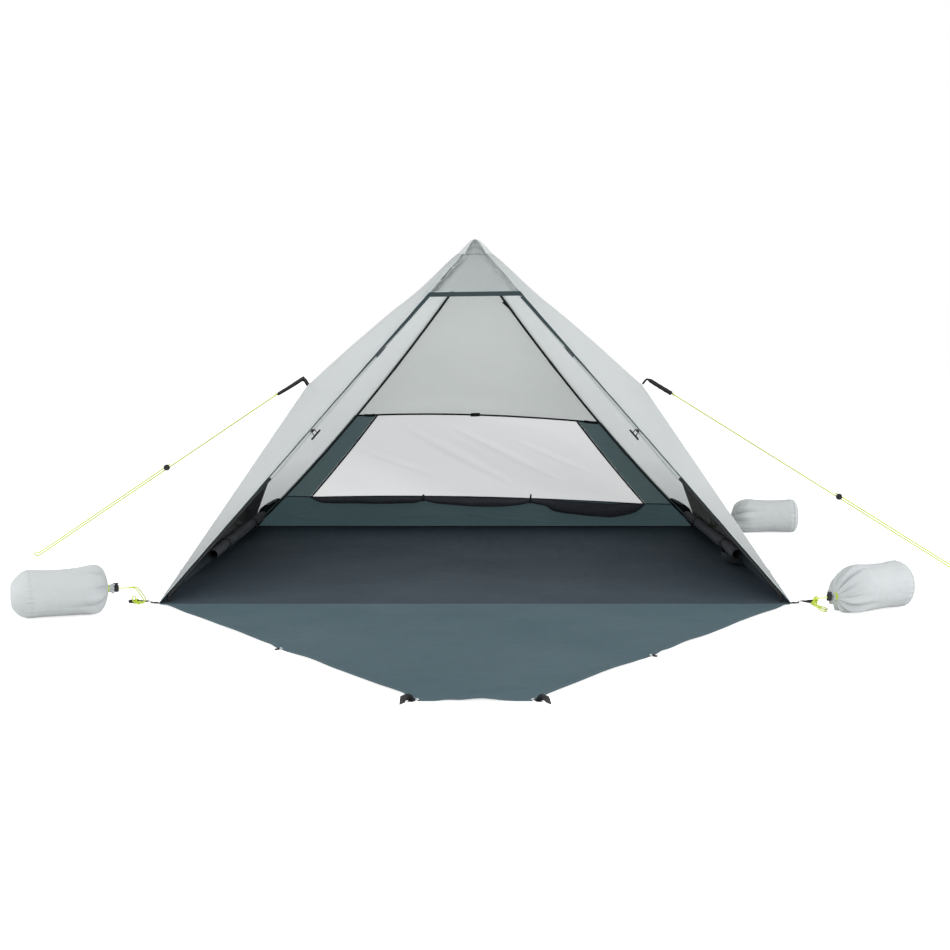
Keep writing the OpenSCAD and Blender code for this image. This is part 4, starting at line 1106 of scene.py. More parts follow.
edge_tapes = [ribbon(on_window_line(sign * window_share(levels), levels), [-sign, 0, 0], TAPE_W,
                     0.0008, INSIDE) for sign in (1, -1)]
tape_u = np.linspace(-1, 1, 120)
rear_up = rear_at(SILL_H + 0.01) * [0, 1, 1] - rear_at(SILL_H) * [0, 1, 1]
sill_tape = ribbon(on_rear(tape_u * 0.99, sill(tape_u)), rear_up, 0.006, 0.0008, INSIDE)
foot_tape = ribbon(on_rear(tape_u * 0.995, 0.003 + 0 * tape_u), rear_up, 0.006, 0.0008, INSIDE)
head_u = tape_u * 0.975
head_tape = ribbon(on_rear(head_u, head(head_u) - 0.005), rear_up, 0.0105, 0.0012, INSIDE)
tabs = []
for x, wide, tall in ((-0.470, 0.048, 0.017), (0.495, 0.058, 0.017), (0.0, 0.040, 0.022)):
    tab_u = np.linspace(x - wide / 2, x + wide / 2, 20) / rear_at(HEAD_H)[0]
    place = on_rear(tab_u, head(tab_u) - 0.0075 + 0.0008 * np.sin(tab_u * 60))
    tabs.append(ribbon(place, rear_up, tall, 0.0016, INSIDE - 0.0012))
tape_object("window_tape", edge_tapes + [sill_tape, foot_tape], "black tape")
tape_object("window_head_tape", [head_tape] + tabs, "black tape",
            ["window_head_binding"])

# %% Seams
def seam_path(points, toward, width=0.007):
    return ribbon(points, toward, width, 0.0006, 0.0009)


ridge_z = np.linspace(0.01, PEAK - 0.02, 150)
front_line, rear_line = front_at(ridge_z), rear_at(ridge_z)
share = np.linspace(0.02, 0.98, 90)
corner_lines = [lerp(FRONT_CORNER, PULL, share), lerp(REAR_CORNER, PULL, share)]
seams = [seam_path(front_line, PULL - front_line),
         seam_path(rear_line, PULL - rear_line, 0.005)]
seams += [seam_path(line, [0, sign, 0]) for line, sign in zip(corner_lines, (1, -1))]
border = lerp(seam_at(FRONT_CORNER, BAND_H), seam_at(REAR_CORNER, BAND_H), np.linspace(0, 1, 60))
seams.append(seam_path(border, [0, 0, 1]))
tape_object("canopy_seam", seams + [mirrored(s) for s in seams], "seam cloth")

# %% [markdown]
# A sleeve of the wall's cloth holds each front pole to its ridge. Its section is a teardrop, sewn
# at the ridge and slack round the pole.

# %% Sleeves of the front poles
def sleeve_rows(zs, seed):
    """A teardrop section: sewn at the ridge, round the pole and back to the ridge."""
    ridge = front_at(zs)
    pole = ridge + POLE_OFFSET
    along = unit(FRONT_TIP - FRONT_CORNER)
    to_ridge = unit(-POLE_OFFSET + along * (POLE_OFFSET @ along))
    side = np.cross(along, to_ridge)
    angles = np.radians(np.linspace(42, 318, 22))
    rows = []
    for z, r, p in zip(zs, ridge, pole):
        slack = (0.0054 + 0.0018 * math.exp(-((z - 0.44) / 0.035) ** 4)
                 + 0.0004 * math.sin(z * 60 + seed) * math.sin(z * 23))
        ring = p + slack * (np.cos(angles)[:, None] * to_ridge + np.sin(angles)[:, None] * side)
        seam = r - to_ridge * 0.0012
        rows.append(np.vstack([seam, ring, seam]))
    return np.array(rows)


POLE_OFFSET = np.array([-0.00362, 0.00591, -0.00789])
sleeve = sleeve_rows(np.linspace(0.395, 1.165, 120), 1.0)
cloth_piece("pole_sleeve", [sleeve, mirrored(sleeve)], ["sleeve cloth"],
            away=None)

# %% [markdown]
# ## Rolled covers
# The window cover and the two side covers are flat pieces of cloth that are rolled up and tied.
# A rolled cover shows its free edge along the roll and a spiral at its end. The window's roll
# hangs in three swags between its ties, and each swag is thickest in its middle.


# %% Rolled sheets
def fold_lines(count, seed):
    """Places and depths of a few lengthwise creases round a roll."""
    angles = [(k + 0.35 * math.sin(5 * k + seed)) * 2 * math.pi / count for k in range(count)]
    return [(a, 0.6 + 0.4 * math.sin(3 * k + 2 * seed)) for k, a in enumerate(angles)]


def roll_rows(path, radius, seam, turns=1.25, sides=44, squash=0.93, seed=1.0, crease=0.0012):
    """A rolled sheet. Each row is a spiral that starts inside and ends in the free edge."""
    path = np.asarray(path, float)
    tangent = unit(np.gradient(path, axis=0))
    up = unit(np.array([0, 0, 1.0]) - tangent * tangent[:, 2:])
    side = np.cross(tangent, up)
    wind = np.linspace(0, turns * 2 * math.pi, sides)
    lines = fold_lines(7, seed)
    squash = np.broadcast_to(squash, (len(path),))
    rows = []
    for k, (p, u, s, r, edge) in enumerate(zip(path, up, side, radius, seam)):
        angle = edge - wind[-1] + wind
        grow = 1 - 0.115 * turns * (1 - np.linspace(0, 1, sides) ** 0.8)
        drifts = [a + 0.35 * math.sin(p[0] * 9 + p[1] * 9 + a) for a, _ in lines]
        lump = sum(d * bell(turned(angle - a), 0.16) for a, (_, d) in zip(drifts, lines))
        ring = r * grow - crease * lump
        rows.append(p + ring[:, None] * (np.cos(angle)[:, None] * u * squash[k]
                                         + np.sin(angle)[:, None] * s))
    return np.array(rows)


TIE_XS, ROLL_ENDS, RIDGE_W = (-0.237, 0.253), (-0.755, 0.785), rear_at(SILL_H)[0]
# How far the roll hangs below the sill: a long flat swag, a deeper one, and a third whose loose
# flap steps down a third of the way along it.
SWAGS = ((-0.755, 3), (-0.735, 17), (-0.700, 32), (-0.45, 39), (-0.280, 36), (-0.252, 27),
         (-0.237, 20), (-0.222, 26), (-0.17, 38), (-0.06, 47), (0.05, 50), (0.15, 45), (0.220, 33),
         (0.243, 24), (0.253, 20), (0.265, 24), (0.300, 31), (0.340, 36), (0.353, 55), (0.42, 69),
         (0.50, 76), (0.62, 76), (0.70, 60), (0.75, 36), (0.785, 3))
xs = np.linspace(*ROLL_ENDS, 320)
hang = np.interp(xs, [a for a, b in SWAGS], [b for a, b in SWAGS]) * MM
hang = np.convolve(np.pad(hang, 3, mode="edge"), np.ones(7) / 7, "valid")
lumpy = noise_at(xs * 14, 3.3, 7.1)
hang = hang * (1 + 0.05 * lumpy * ease(hang * 80 - 1.6))
at_tie = np.min([np.abs(xs - x) for x in TIE_XS], axis=0)
depth = np.minimum(0.0045 + 0.24 * hang, 0.0165) * (1 - 0.08 * bell(at_tie, 0.01))
roll_z = sill(xs / RIDGE_W) + 0.0014 - hang / 2
roll_y = np.array([rear_at(z)[1] for z in roll_z]) - depth - 0.0015
seam = 2.2 + 0.5 * np.sin(xs * 9 + 1) + 0.5 * ease((xs - 0.345) / 0.012)
roll_path = np.stack([xs, roll_y, roll_z], axis=1)
roll_made = roll_rows(roll_path, depth, seam, 1.3, squash=hang / 2 / depth, seed=2.0, crease=0.0016)
pulled = np.exp(-at_tie / 0.05) * np.sin(xs * 260) * 0.0011
roll_made[..., 1] += pulled[:, None] * np.sin(np.linspace(0, 9, roll_made.shape[1]))[None, :]
cloth_piece("window_cover", [roll_made], ["roll cloth"], ["window_cover_roll"],
            away=None)

SIDE_X, SIDE_Z, SIDE_R = 0.9775, 0.081, 0.0216
SIDE_TIES = (0.5625, -0.1375)
side_y = np.linspace(0.900, -0.430, 200)
for side, sign, seed in (("right", 1, 4.0), ("left", -1, 9.0)):
    lump = noise_at(side_y * 9, seed, 1.7)
    near = np.min([np.abs(side_y - t) for t in SIDE_TIES], axis=0)
    pinch = 1 - 0.16 * bell(near, 0.03)
    r = SIDE_R * pinch * (0.96 + 0.09 * lump) * (1 - 0.18 * ease((side_y - 0.80) / 0.1))
    sag = 0.004 * ease(near / 0.15)
    path = np.stack([sign * (SIDE_X - 0.0015 * lump), side_y, SIDE_Z - sag + 0.001 * lump], axis=1)
    seam = 0.9 * sign + 0.5 * np.sin(side_y * 4 + seed)
    cloth_piece(f"{side}_side_cover", [roll_rows(path, r, seam, 2.6, 84, seed=seed)],
                ["roll cloth"], ["side_cover_rolls"] if sign > 0 else (),
                away=None)

# %% Ties round the rolls
def band_round(centre, axis, radius, width, squash=0.96, wave=0.0):
    """A closed ribbon round a roll: rows run along the roll, and the loop goes round it."""
    axis, up, side = across_axis(axis)
    angles = np.linspace(0, 2 * math.pi, 64)
    rows = []
    for shift, grow in ((-0.5, -0.0006), (-0.46, 0.0006), (0, 0.0010), (0.46, 0.0006),
                        (0.5, -0.0006), (0, -0.0008), (-0.5, -0.0006)):
        ring = (radius + grow) * (1 + wave * np.sin(3 * angles + 1))
        rows.append(centre + axis * width * shift + ring[:, None] * (
            np.cos(angles)[:, None] * up * squash + np.sin(angles)[:, None] * side))
    return np.array(rows).transpose(1, 0, 2)


def loose_end(root, out, across, length, width, curl, seed=0.0):
    """A short free end of tape that stands off and curls over."""
    s = np.linspace(0, 1, 14)
    out, across = unit(out), unit(across)
    over = np.cross(out, across)
    path = root + out * length * s[:, None] + over * (curl * s**2 * length)[:, None]
    lifted = across + over * (0.5 * np.sin(3 * s + seed) * s)[:, None]
    return ribbon(path - across * width / 2, lifted, width, proud=0.0006)


ties = []
for x, tall in zip(TIE_XS, (0.012, 0.024)):
    centre = roll_path[np.argmin(np.abs(xs - x))] + [0, 0, 0.0002]
    ties.append(band_round(centre, [1, 0.02, 0], 0.0112, 0.010, squash=1.02))
    ties.append(loose_end(centre + [0.001, -0.012, 0.008], [0.1, -0.25, 1.0], [1, 0, 0.1], tall,
                          0.009, 0.25, x))
for sign in (1, -1):
    for k, y in enumerate(SIDE_TIES):
        centre = np.array([sign * SIDE_X, y, SIDE_Z])
        ties.append(band_round(centre, [0, 1, 0.01], 0.0206, 0.015, wave=0.01))
        ties.append(loose_end(centre + [-sign * 0.017, 0, -0.010], [-sign * 0.4, 0.1, -1.0],
                              [0.05, 1, 0], 0.020, 0.010, 0.3 * sign, k))
tape_object("cover_tie", ties, "black tape", ["cover_ties"])

# %% Pouch on the right-hand wall
def wall_x(z):
    return HALF - 0.5534 * z - 0.0021


def pouch_rows(low, high, depth, y, half_width, seed):
    us, vs = np.linspace(0, 1, 46), np.linspace(0, 1, 26)
    rows = []
    for v in vs:
        z = high + (low - high) * v - 0.007 * np.sin(math.pi * us) ** 2 * (1 - v) ** 2
        belly = np.sin(math.pi * us) ** 0.55
        out = depth * belly * (0.80 + 0.20 * np.sin(math.pi * v) - 0.75 * ease((v - 0.8) / 0.2) *
                               v)
        ruffle = 0.0022 * np.sin(us * 40 + seed) * (1 - v) ** 2 * belly
        side_way = half_width * (np.cos(math.pi * us)) * (1 - 0.10 * v)
        rows.append(np.stack([wall_x(z) - 0.0018 - out - ruffle, y + side_way, z], axis=1))
    rows = np.array(rows)
    crumple = 0.0018 * soft_noise(rows, 30, seed) * np.sin(math.pi * vs)[:, None]
    return push(rows, crumple, np.array([wall_x(0.03), y, 0.03]))


pouch = pouch_rows(0.0035, 0.056, 0.062, -0.150, 0.080, 3.0)
cloth_piece("pouch", [pouch], ["pouch cloth"], ["storage_pouch"],
            away=(wall_x(0.03), -0.15, 0.03))
tape_object("pouch_hem", [ribbon(pouch[0] + [0, 0, -0.005], [0, 0, 1], 0.0065, 0.0012)],
            "black tape")

# %% [markdown]
# ## Floor and door
# The groundsheet is a heavier coated cloth that lies flat, with soft creases from its packing. The
# door is zipped off at its sides and lies out in front as a porch, so it is a separate sheet that
# turns about the front edge of the floor.

# %% Groundsheet
FLOOR_X, FLOOR_FRONT, FLOOR_REAR, SHEET_T = 1.0501, -1.0572, 1.0500, 0.0015
ground = np.array([[(x, y, SHEET_T) for x in np.linspace(-FLOOR_X, FLOOR_X, 150)]
                   for y in np.linspace(FLOOR_FRONT, FLOOR_REAR, 150)])
edge_gap = np.minimum(FLOOR_X - np.abs(ground[..., 0]),
                      np.minimum(ground[..., 1] - FLOOR_FRONT, FLOOR_REAR - ground[..., 1]))
hold = ease((edge_gap - 0.01) / 0.12)
move = 0.0022 * (1 + soft_noise(ground, 2.3, 5.5)) + 0.0008 * (1 + soft_noise(ground, 8.0, 9.9))
creases = (
    (-0.75, -0.70, 1, 0.25, 0.9, 0.030, 0.0022), (0.15, -0.80, 1, 0.05, 0.7, 0.026, 0.0022),
    (-0.20, -0.30, 1, -0.3, 0.8, 0.028, 0.0020), (-0.85, 0.15, 1, 0.1, 0.8, 0.024, 0.0018),
    (0.20, 0.25, 1, 0.3, 0.7, 0.026, 0.0018), (0.72, -0.60, 0.1, 1, 0.7, 0.022, 0.0018))
move = move - flat_folds(ground, creases, SHEET_T)
ground[..., 2] += np.maximum(move, 0) * hold
cloth_piece("floor_sheet", [ground], ["floor cloth"], ["groundsheet"],
            away=(0, 0, -1))

# %% Door panel
HINGE_Y, DOOR_LEN, DOOR_ROOT, DOOR_TIP = -1.056, 1.3583, 1.046, 0.136
# The side of each ring, and its share of the way from the hinge to the tip.
RING_SHARES = ((1, 0.612), (-1, 0.545), (1, 0.992), (-1, 0.992))
DOOR_Z = 0.0013
DOOR_SLOPE = math.atan2(DOOR_ROOT - DOOR_TIP, DOOR_LEN)


def door_edge(t, inset=0.0):
    return np.array([lerp(DOOR_ROOT, DOOR_TIP, t) - inset, HINGE_Y - DOOR_LEN * t, 0.0])


def near_rings(points, clear, reach):
    """0 next to a ring and 1 away from all four of them."""
    mask = np.ones(points.shape[:-1])
    for sign, t in RING_SHARES:
        at = door_edge(t, 0.014) * [sign, 1, 1]
        mask = mask * ease((np.linalg.norm((points - at)[..., :2], axis=-1) - clear) / reach)
    return mask


def door_rows(seed):
    ts, us = np.linspace(0, 1, 150), np.linspace(-1, 1, 120)
    t, u = ts[:, None], us[None, :]
    half = DOOR_ROOT + (DOOR_TIP - DOOR_ROOT) * t
    rows = np.stack(np.broadcast_arrays(u * half, HINGE_Y - DOOR_LEN * t, DOOR_Z), axis=-1)
    flat = near_rings(rows, 0.03, 0.05)
    edge = (1 - np.abs(u)) * half
    ripple = np.exp(-edge / 0.05)
    wave = 0.5 + 0.5 * np.sin(t * 31 + np.sign(u) * 1.3 + 2 * np.sin(t * 11))
    move = 0.0016 * (1 + soft_noise(rows, 3.0, seed)) + 0.0007 * (1 + soft_noise(rows, 10, seed))
    move = move + 0.0032 * wave * ripple + 0.0025 * np.exp(-(1 - t) * DOOR_LEN / 0.03) * (
        0.5 + 0.5 * np.sin(u * 7 + 1))
    move = move - flat_folds(rows, (
        (-0.060, -2.350, 1, 0.31, 0.27, 0.011, 0.0060),
        (-0.45, -1.30, 1, -0.12, 0.9, 0.030, 0.0020),
        (0.55, -1.20, -0.5, -1, 0.8, 0.024, 0.0018), (-0.60, -1.25, 0.55, -1, 0.8, 0.026, 0.0018),
        (-0.25, -1.75, 1, 0.1, 0.55, 0.022, 0.0018), (-0.10, -2.05, 1, -0.15, 0.30, 0.018, 0.0015)),
        DOOR_Z)
    root = ease(t * DOOR_LEN / 0.05)
    rows[..., 2] += np.maximum(move, 0) * flat * root
    sway = 0.004 * ripple * (0.5 + 0.5 * np.sin(t * 23 + 2 * np.sign(u))) * flat * root
    rows[..., 0] -= np.sign(u) * sway
    front = 0.007 * np.exp(-(1 - t) * DOOR_LEN / 0.04) * (0.5 + 0.5 * np.sin(u * 8 + 0.5)) * flat
    rows[..., 1] += front
    return rows


porch = door_rows(6.6)
cloth_piece("door_sheet", [porch], ["door cloth"], ["door_panel"], "door",
            away=(0, -1.7, -1))


def hem(path, inner, width=0.013):
    return ribbon(path + [0, 0, 0.0003], inner - path, width, 0.0006, 0.0004)


hems = [hem(porch[1:, -1], porch[1:, -8]), hem(porch[1:, 0], porch[1:, 7]),
        hem(porch[-1], porch[-6]), hem(porch[1], porch[5], 0.010)]
tape_object("door_edging", hems, "hem cloth", body="door")

# %% [markdown]
# ## Webbing
# The pull-out straps, the tabs at the corners and the tabs on the door are folded webbing. Each
# is a ribbon that runs out to a ring or a cord, goes round it and comes back to be sewn down.


# %% Folded webbing
def loop_path(length, bar_height, radius, foot=0.0006, lift=0.0022, back=0.8):
    """Side view of a strap that goes out, round a bar and back: points (out, up) in metres."""
    turn = np.linspace(-math.pi / 2, math.pi * 0.78, 16)
    low = [(0.0, foot), (length * 0.4, foot), (length - radius, foot + 0.0002)]
    round_bar = [(length + radius * math.cos(a), bar_height + radius * math.sin(a)) for a in turn]
    high = [(length - radius * 2.2, foot + lift), (length * (1 - back), foot + lift)]
    return smooth_route([(x, 0, z) for x, z in low + round_bar + high], 0.0012)


def strap_on(origin, out, up, path, widths):
    """A webbing ribbon along a side view, placed by an origin and two directions."""
    out, up = unit(out), unit(up)
    across = np.cross(up, out)
    widths = np.broadcast_to(np.asarray(widths, float), (len(path),))
    placed = (np.asarray(origin, float) + path[:, :1] * out + path[:, 2:] * up
              - across * widths[:, None] / 2)
    return ribbon(placed, across, widths, proud=0.0006, columns=9)


EYE_D, EYE_W, TAB_W, TAB_LEN = 0.0059, 0.0110, 0.022, 0.026
corner_tabs = []
tab_path = loop_path(TAB_LEN, EYE_D / 2, 0.0024)
along = tab_path[:, 0] / TAB_LEN
tab_widths = TAB_W + (EYE_W - TAB_W) * ease((along - 0.70) / 0.15)
for sx in (-1, 1):
    for sy in (-1, 1):
        root = np.array([sx * (HALF + 0.0004), sy * (HALF - 0.013), 0.0])
        corner_tabs.append(strap_on(root, [sx, 0, 0], [0, 0, 1], tab_path, tab_widths))
TOGGLE_EYE = np.array([0.58079, -0.59491, 0.54824])
EDGE_DIR, FRONT_NORMAL = unit([-0.5375, 0.5375, 0.6497]), np.array([0, -0.7705, 0.6374])
loop_side = loop_path(0.0085, 0.0, 0.0021, foot=-0.0021, lift=0.0014, back=0.9)
inwards = np.cross(EDGE_DIR, FRONT_NORMAL)
inwards = -inwards if inwards[0] > 0 else inwards
toggle_loop = strap_on(TOGGLE_EYE - inwards * 0.0085, inwards, FRONT_NORMAL, loop_side, 0.0115)
corner_tabs += [mirrored(toggle_loop), toggle_loop]
tape_object("webbing_tabs", corner_tabs, "webbing weave", ["webbing_loops"])

door_tabs, eye_x = [], 0.0031
turn = np.linspace(math.pi * 0.85, -math.pi / 2, 14)
out = np.array([math.cos(DOOR_SLOPE), -math.sin(DOOR_SLOPE), 0.0])
along_edge, upward = np.array([out[1], -out[0], 0.0]), np.array([0, 0, 1.0])
for sign, t in RING_SHARES:
    tip, at = t > 0.9, door_edge(t)
    tail, width = (0.060, 0.022) if tip else (0.012, 0.016)
    side = ([(eye_x + 0.011, 0.0027), (eye_x + 0.006, 0.0029)]
            + [(eye_x + 0.0023 * math.cos(a), 0.0030 + 0.0023 * math.sin(a)) for a in turn]
            + [(eye_x + 0.005, 0.0008), (eye_x + 0.010, 0.0009)])
    end = [(x, 0.0009) for x in np.linspace(0.016, tail, 14)] if tip else [(tail + 0.002, 0.0009)]
    view = smooth_route([(x, 0, z) for x, z in side + end], 0.0012)
    reach = np.maximum(view[:, 0] - eye_x, 0)
    widths = EYE_W + (width - EYE_W) * ease((reach - 0.003) / 0.004)
    widths = np.where(np.arange(len(view)) < 12, EYE_W, widths)
    # A tail bends forwards beyond its ring.
    past = np.where(np.arange(len(view)) < 20, 0, np.maximum(view[:, 0] - 0.014, 0))
    bend = (0.5 if tip else 0.0) * ease(past / 0.03)
    step = np.diff(past, prepend=0.0)
    ahead, aside = np.cumsum(step * np.cos(bend)), np.cumsum(step * np.sin(bend))
    base = (at + (view[:, 0] - past + ahead)[:, None] * out + aside[:, None] * along_edge
            + view[:, 2:] * upward)
    across = np.cos(bend)[:, None] * along_edge - np.sin(bend)[:, None] * out
    if tip:
        # The free end turns up on its edge, as stiff webbing does when it is lifted and let go.
        twist = ease((view[:, 0] - 0.013) / 0.024) * (1.25 if sign > 0 else 1.45)
        twist = np.where(np.arange(len(view)) < 20, 0, twist)
        across = across * np.cos(twist)[:, None] + upward * np.sin(twist)[:, None]
        base = base + upward * (np.sin(twist) * widths / 2)[:, None]
        base = base + along_edge * (0.004 * twist)[:, None]
    made = ribbon(base - across * widths[:, None] / 2, across, widths, proud=0.0006, columns=9)
    door_tabs.append(made * [sign, 1, 1])
tape_object("door_strap", door_tabs, "webbing weave", ["door_tabs"], "door")

# %% Pull-out straps
STRAP_W = 0.020
left_turn = [(0.0016, 0.0002), (0.010, 0.0135), (0.0195, 0.0245), (0.0225, 0.0248),
             (0.045, 0.0108), (0.080, -0.0110), (0.117, -0.0335), (0.1215, -0.0372),
             (0.1195, -0.0402), (0.114, -0.0385), (0.080, -0.0185), (0.045, 0.0035),
             (0.0215, 0.0180), (0.012, 0.0080), (0.0040, -0.0032)]
view = smooth_route(np.array([(x, 0, z) for x, z in left_turn]), 0.003)
s = np.linspace(0, 1, len(view))
wobble = 0.0010 * np.sin(19 * s) * np.sin(math.pi * s)
left_path = PULL + np.stack([view[:, 0], wobble, view[:, 2]], axis=1)
left_widths = STRAP_W * (1 - 0.35 * np.sin(math.pi * s) ** 2)
tilt = np.array([0, 0.788, 0.616])
left_strap = mirrored(ribbon(left_path - tilt * left_widths[:, None] / 2, tilt, left_widths,
                             proud=0.0007, columns=9))
core = smooth_route(np.array([PULL + [x, 0, z] for x, z in (
    (0.0035, 0.0), (0.011, 0.0095), (0.0205, 0.0195), (0.034, 0.0142), (0.060, -0.0020),
    (0.090, -0.0200), (0.1195, -0.0368))]), 0.0025)
thick = 0.0052 + 0.0056 * ease((core[:, 0] - PULL[0] - 0.022) / 0.018)
thick = thick * (1 + 0.05 * np.sin(core[:, 0] * 300)) * (
    1 - 0.1 * ease((core[:, 0] - PULL[0] - 0.112) / 0.01))
right_strap = roll_rows(core, thick, 2.2 + 7 * (core[:, 0] - PULL[0]), 2.2, 60, squash=0.85,
                        seed=5.0, crease=0.0005)
tape_object("pull_strap", [left_strap, right_strap], "webbing weave",
            ["pull_out_straps"])

# %% Pole tab
# A short triangular tape holds the right-hand rear pole to the cloth just below the hub.
tab_z = np.linspace(0.985, 1.035, 12)
tab_path = rear_at(tab_z) - np.array([0.0005, 0.0005, 0.0])
tab_ribbon = ribbon(tab_path, [-1, 0.2, 0], np.linspace(0.004, 0.020, 12), 0.0008, -0.0030)
tape_object("pole_tape", [tab_ribbon], "black tape")

# %% [markdown]
# ## Cap over the peak
# A small cap of the same cloth covers the hub. It is cut round and gathered at its hem, so it
# puckers, and it rounds off the point where four panels meet.

# %% Cap
def cap_outline(phi):
    """How far the tent reaches from its axis just below the peak, and the cap's rim height."""
    c, s = math.cos(phi), math.sin(phi)
    rearness = max(0.0, s) ** 0.8
    rim = lerp(1.212, 1.186, rearness)
    corner = abs(front_at(rim)[1]) if s < 0 else rear_at(rim)[1]
    side = TIP + (PEAK - rim) * (PULL[0] - TIP) / (PEAK - PULL[2])
    # Straight line from the side point to the ridge, then along the front or the back.
    if abs(s) <= abs(c):
        t = abs(s) / max(abs(c), 1e-6)
        reach_x = side / (1 + t * (side - corner) / corner)
        reach = reach_x * math.hypot(1, t)
    else:
        reach = corner / abs(s)
    return reach * 1.02 + 0.0014, rim


CAP_TOP, BLUNT = 1.2705, 0.40
phis = np.linspace(0, 2 * math.pi, 97)
rho = np.linspace(0.0, 1.0, 26)
cap = np.zeros((len(phis), len(rho), 3))
outline = np.array([cap_outline(p) for p in phis])
smooth_reach = outline[:, 0].copy()
for _ in range(2):
    ring = np.concatenate([smooth_reach[-2:-1], smooth_reach, smooth_reach[1:2]])
    smooth_reach = np.maximum(outline[:, 0], (ring[:-2] + ring[2:]) / 2)
dome = (np.hypot(rho, BLUNT) - BLUNT) / (math.hypot(1, BLUNT) - BLUNT)
for i, p in enumerate(phis):
    r = smooth_reach[i] * rho
    z = CAP_TOP - (CAP_TOP - outline[i, 1]) * dome
    pucker = np.sin(9 * p + 0.7) * 0.6 + np.sin(14 * p + 2.1) * 0.4
    swell = rho**2 * (0.35 + 0.65 * rho)
    r = r + 0.0030 * (1 + pucker) * swell
    z = z + 0.0026 * pucker * np.sin(math.pi * rho) - 0.0020 * swell * (1 + math.sin(5 * p)) / 2
    cap[i] = np.stack([r * math.cos(p), r * math.sin(p), z], axis=1)
front_from, front_to = (int(len(phis) * share) for share in (0.645, 0.865))
cloth_piece("peak_cover", [cap[:front_from + 1], (cap[front_from:front_to + 1], 1),
                           cap[front_to:]], ["cap cloth", "visor cloth"],
            ["peak_cap"], away=(0, 0, 1.15))

# %% [markdown]
# ## Sandbags
# Each bag is a tube of cloth with a round end sewn in, gathered at its neck by a cord. It lies on
# the ground, filled, so its foot is flat, its folds run out from the neck, and the seam of its end
# is puckered.

# %% Bags
BAG_R, BAG_LEN, NECK_R, RUFFLE, BAG_FOOT = 0.078, 0.300, 0.0105, 0.019, 0.0006
# Where each neck is, the bag's turn in degrees, the neck's height, its folds, a seed, how deep
# the folds are, and how far along the shoulder ends and the seam of the round end lies.
BAGS = {
    "front_left": ((-1.173, -1.225), 199, 0.080, 9, 0.8, 0.32, (0.062, 0.240)),
    "front_right": ((1.149, -1.235), 31, 0.056, 11, 4.2, 0.32, (0.105, 0.270)),
    "rear_left": ((-1.085, 1.145), 90, 0.060, 10, 7.9, 0.28, (0.080, 0.255)),
    "rear_right": ((1.174, 0.850), 0, 0.070, 8, 2.6, 0.34, (0.080, 0.272)),
}


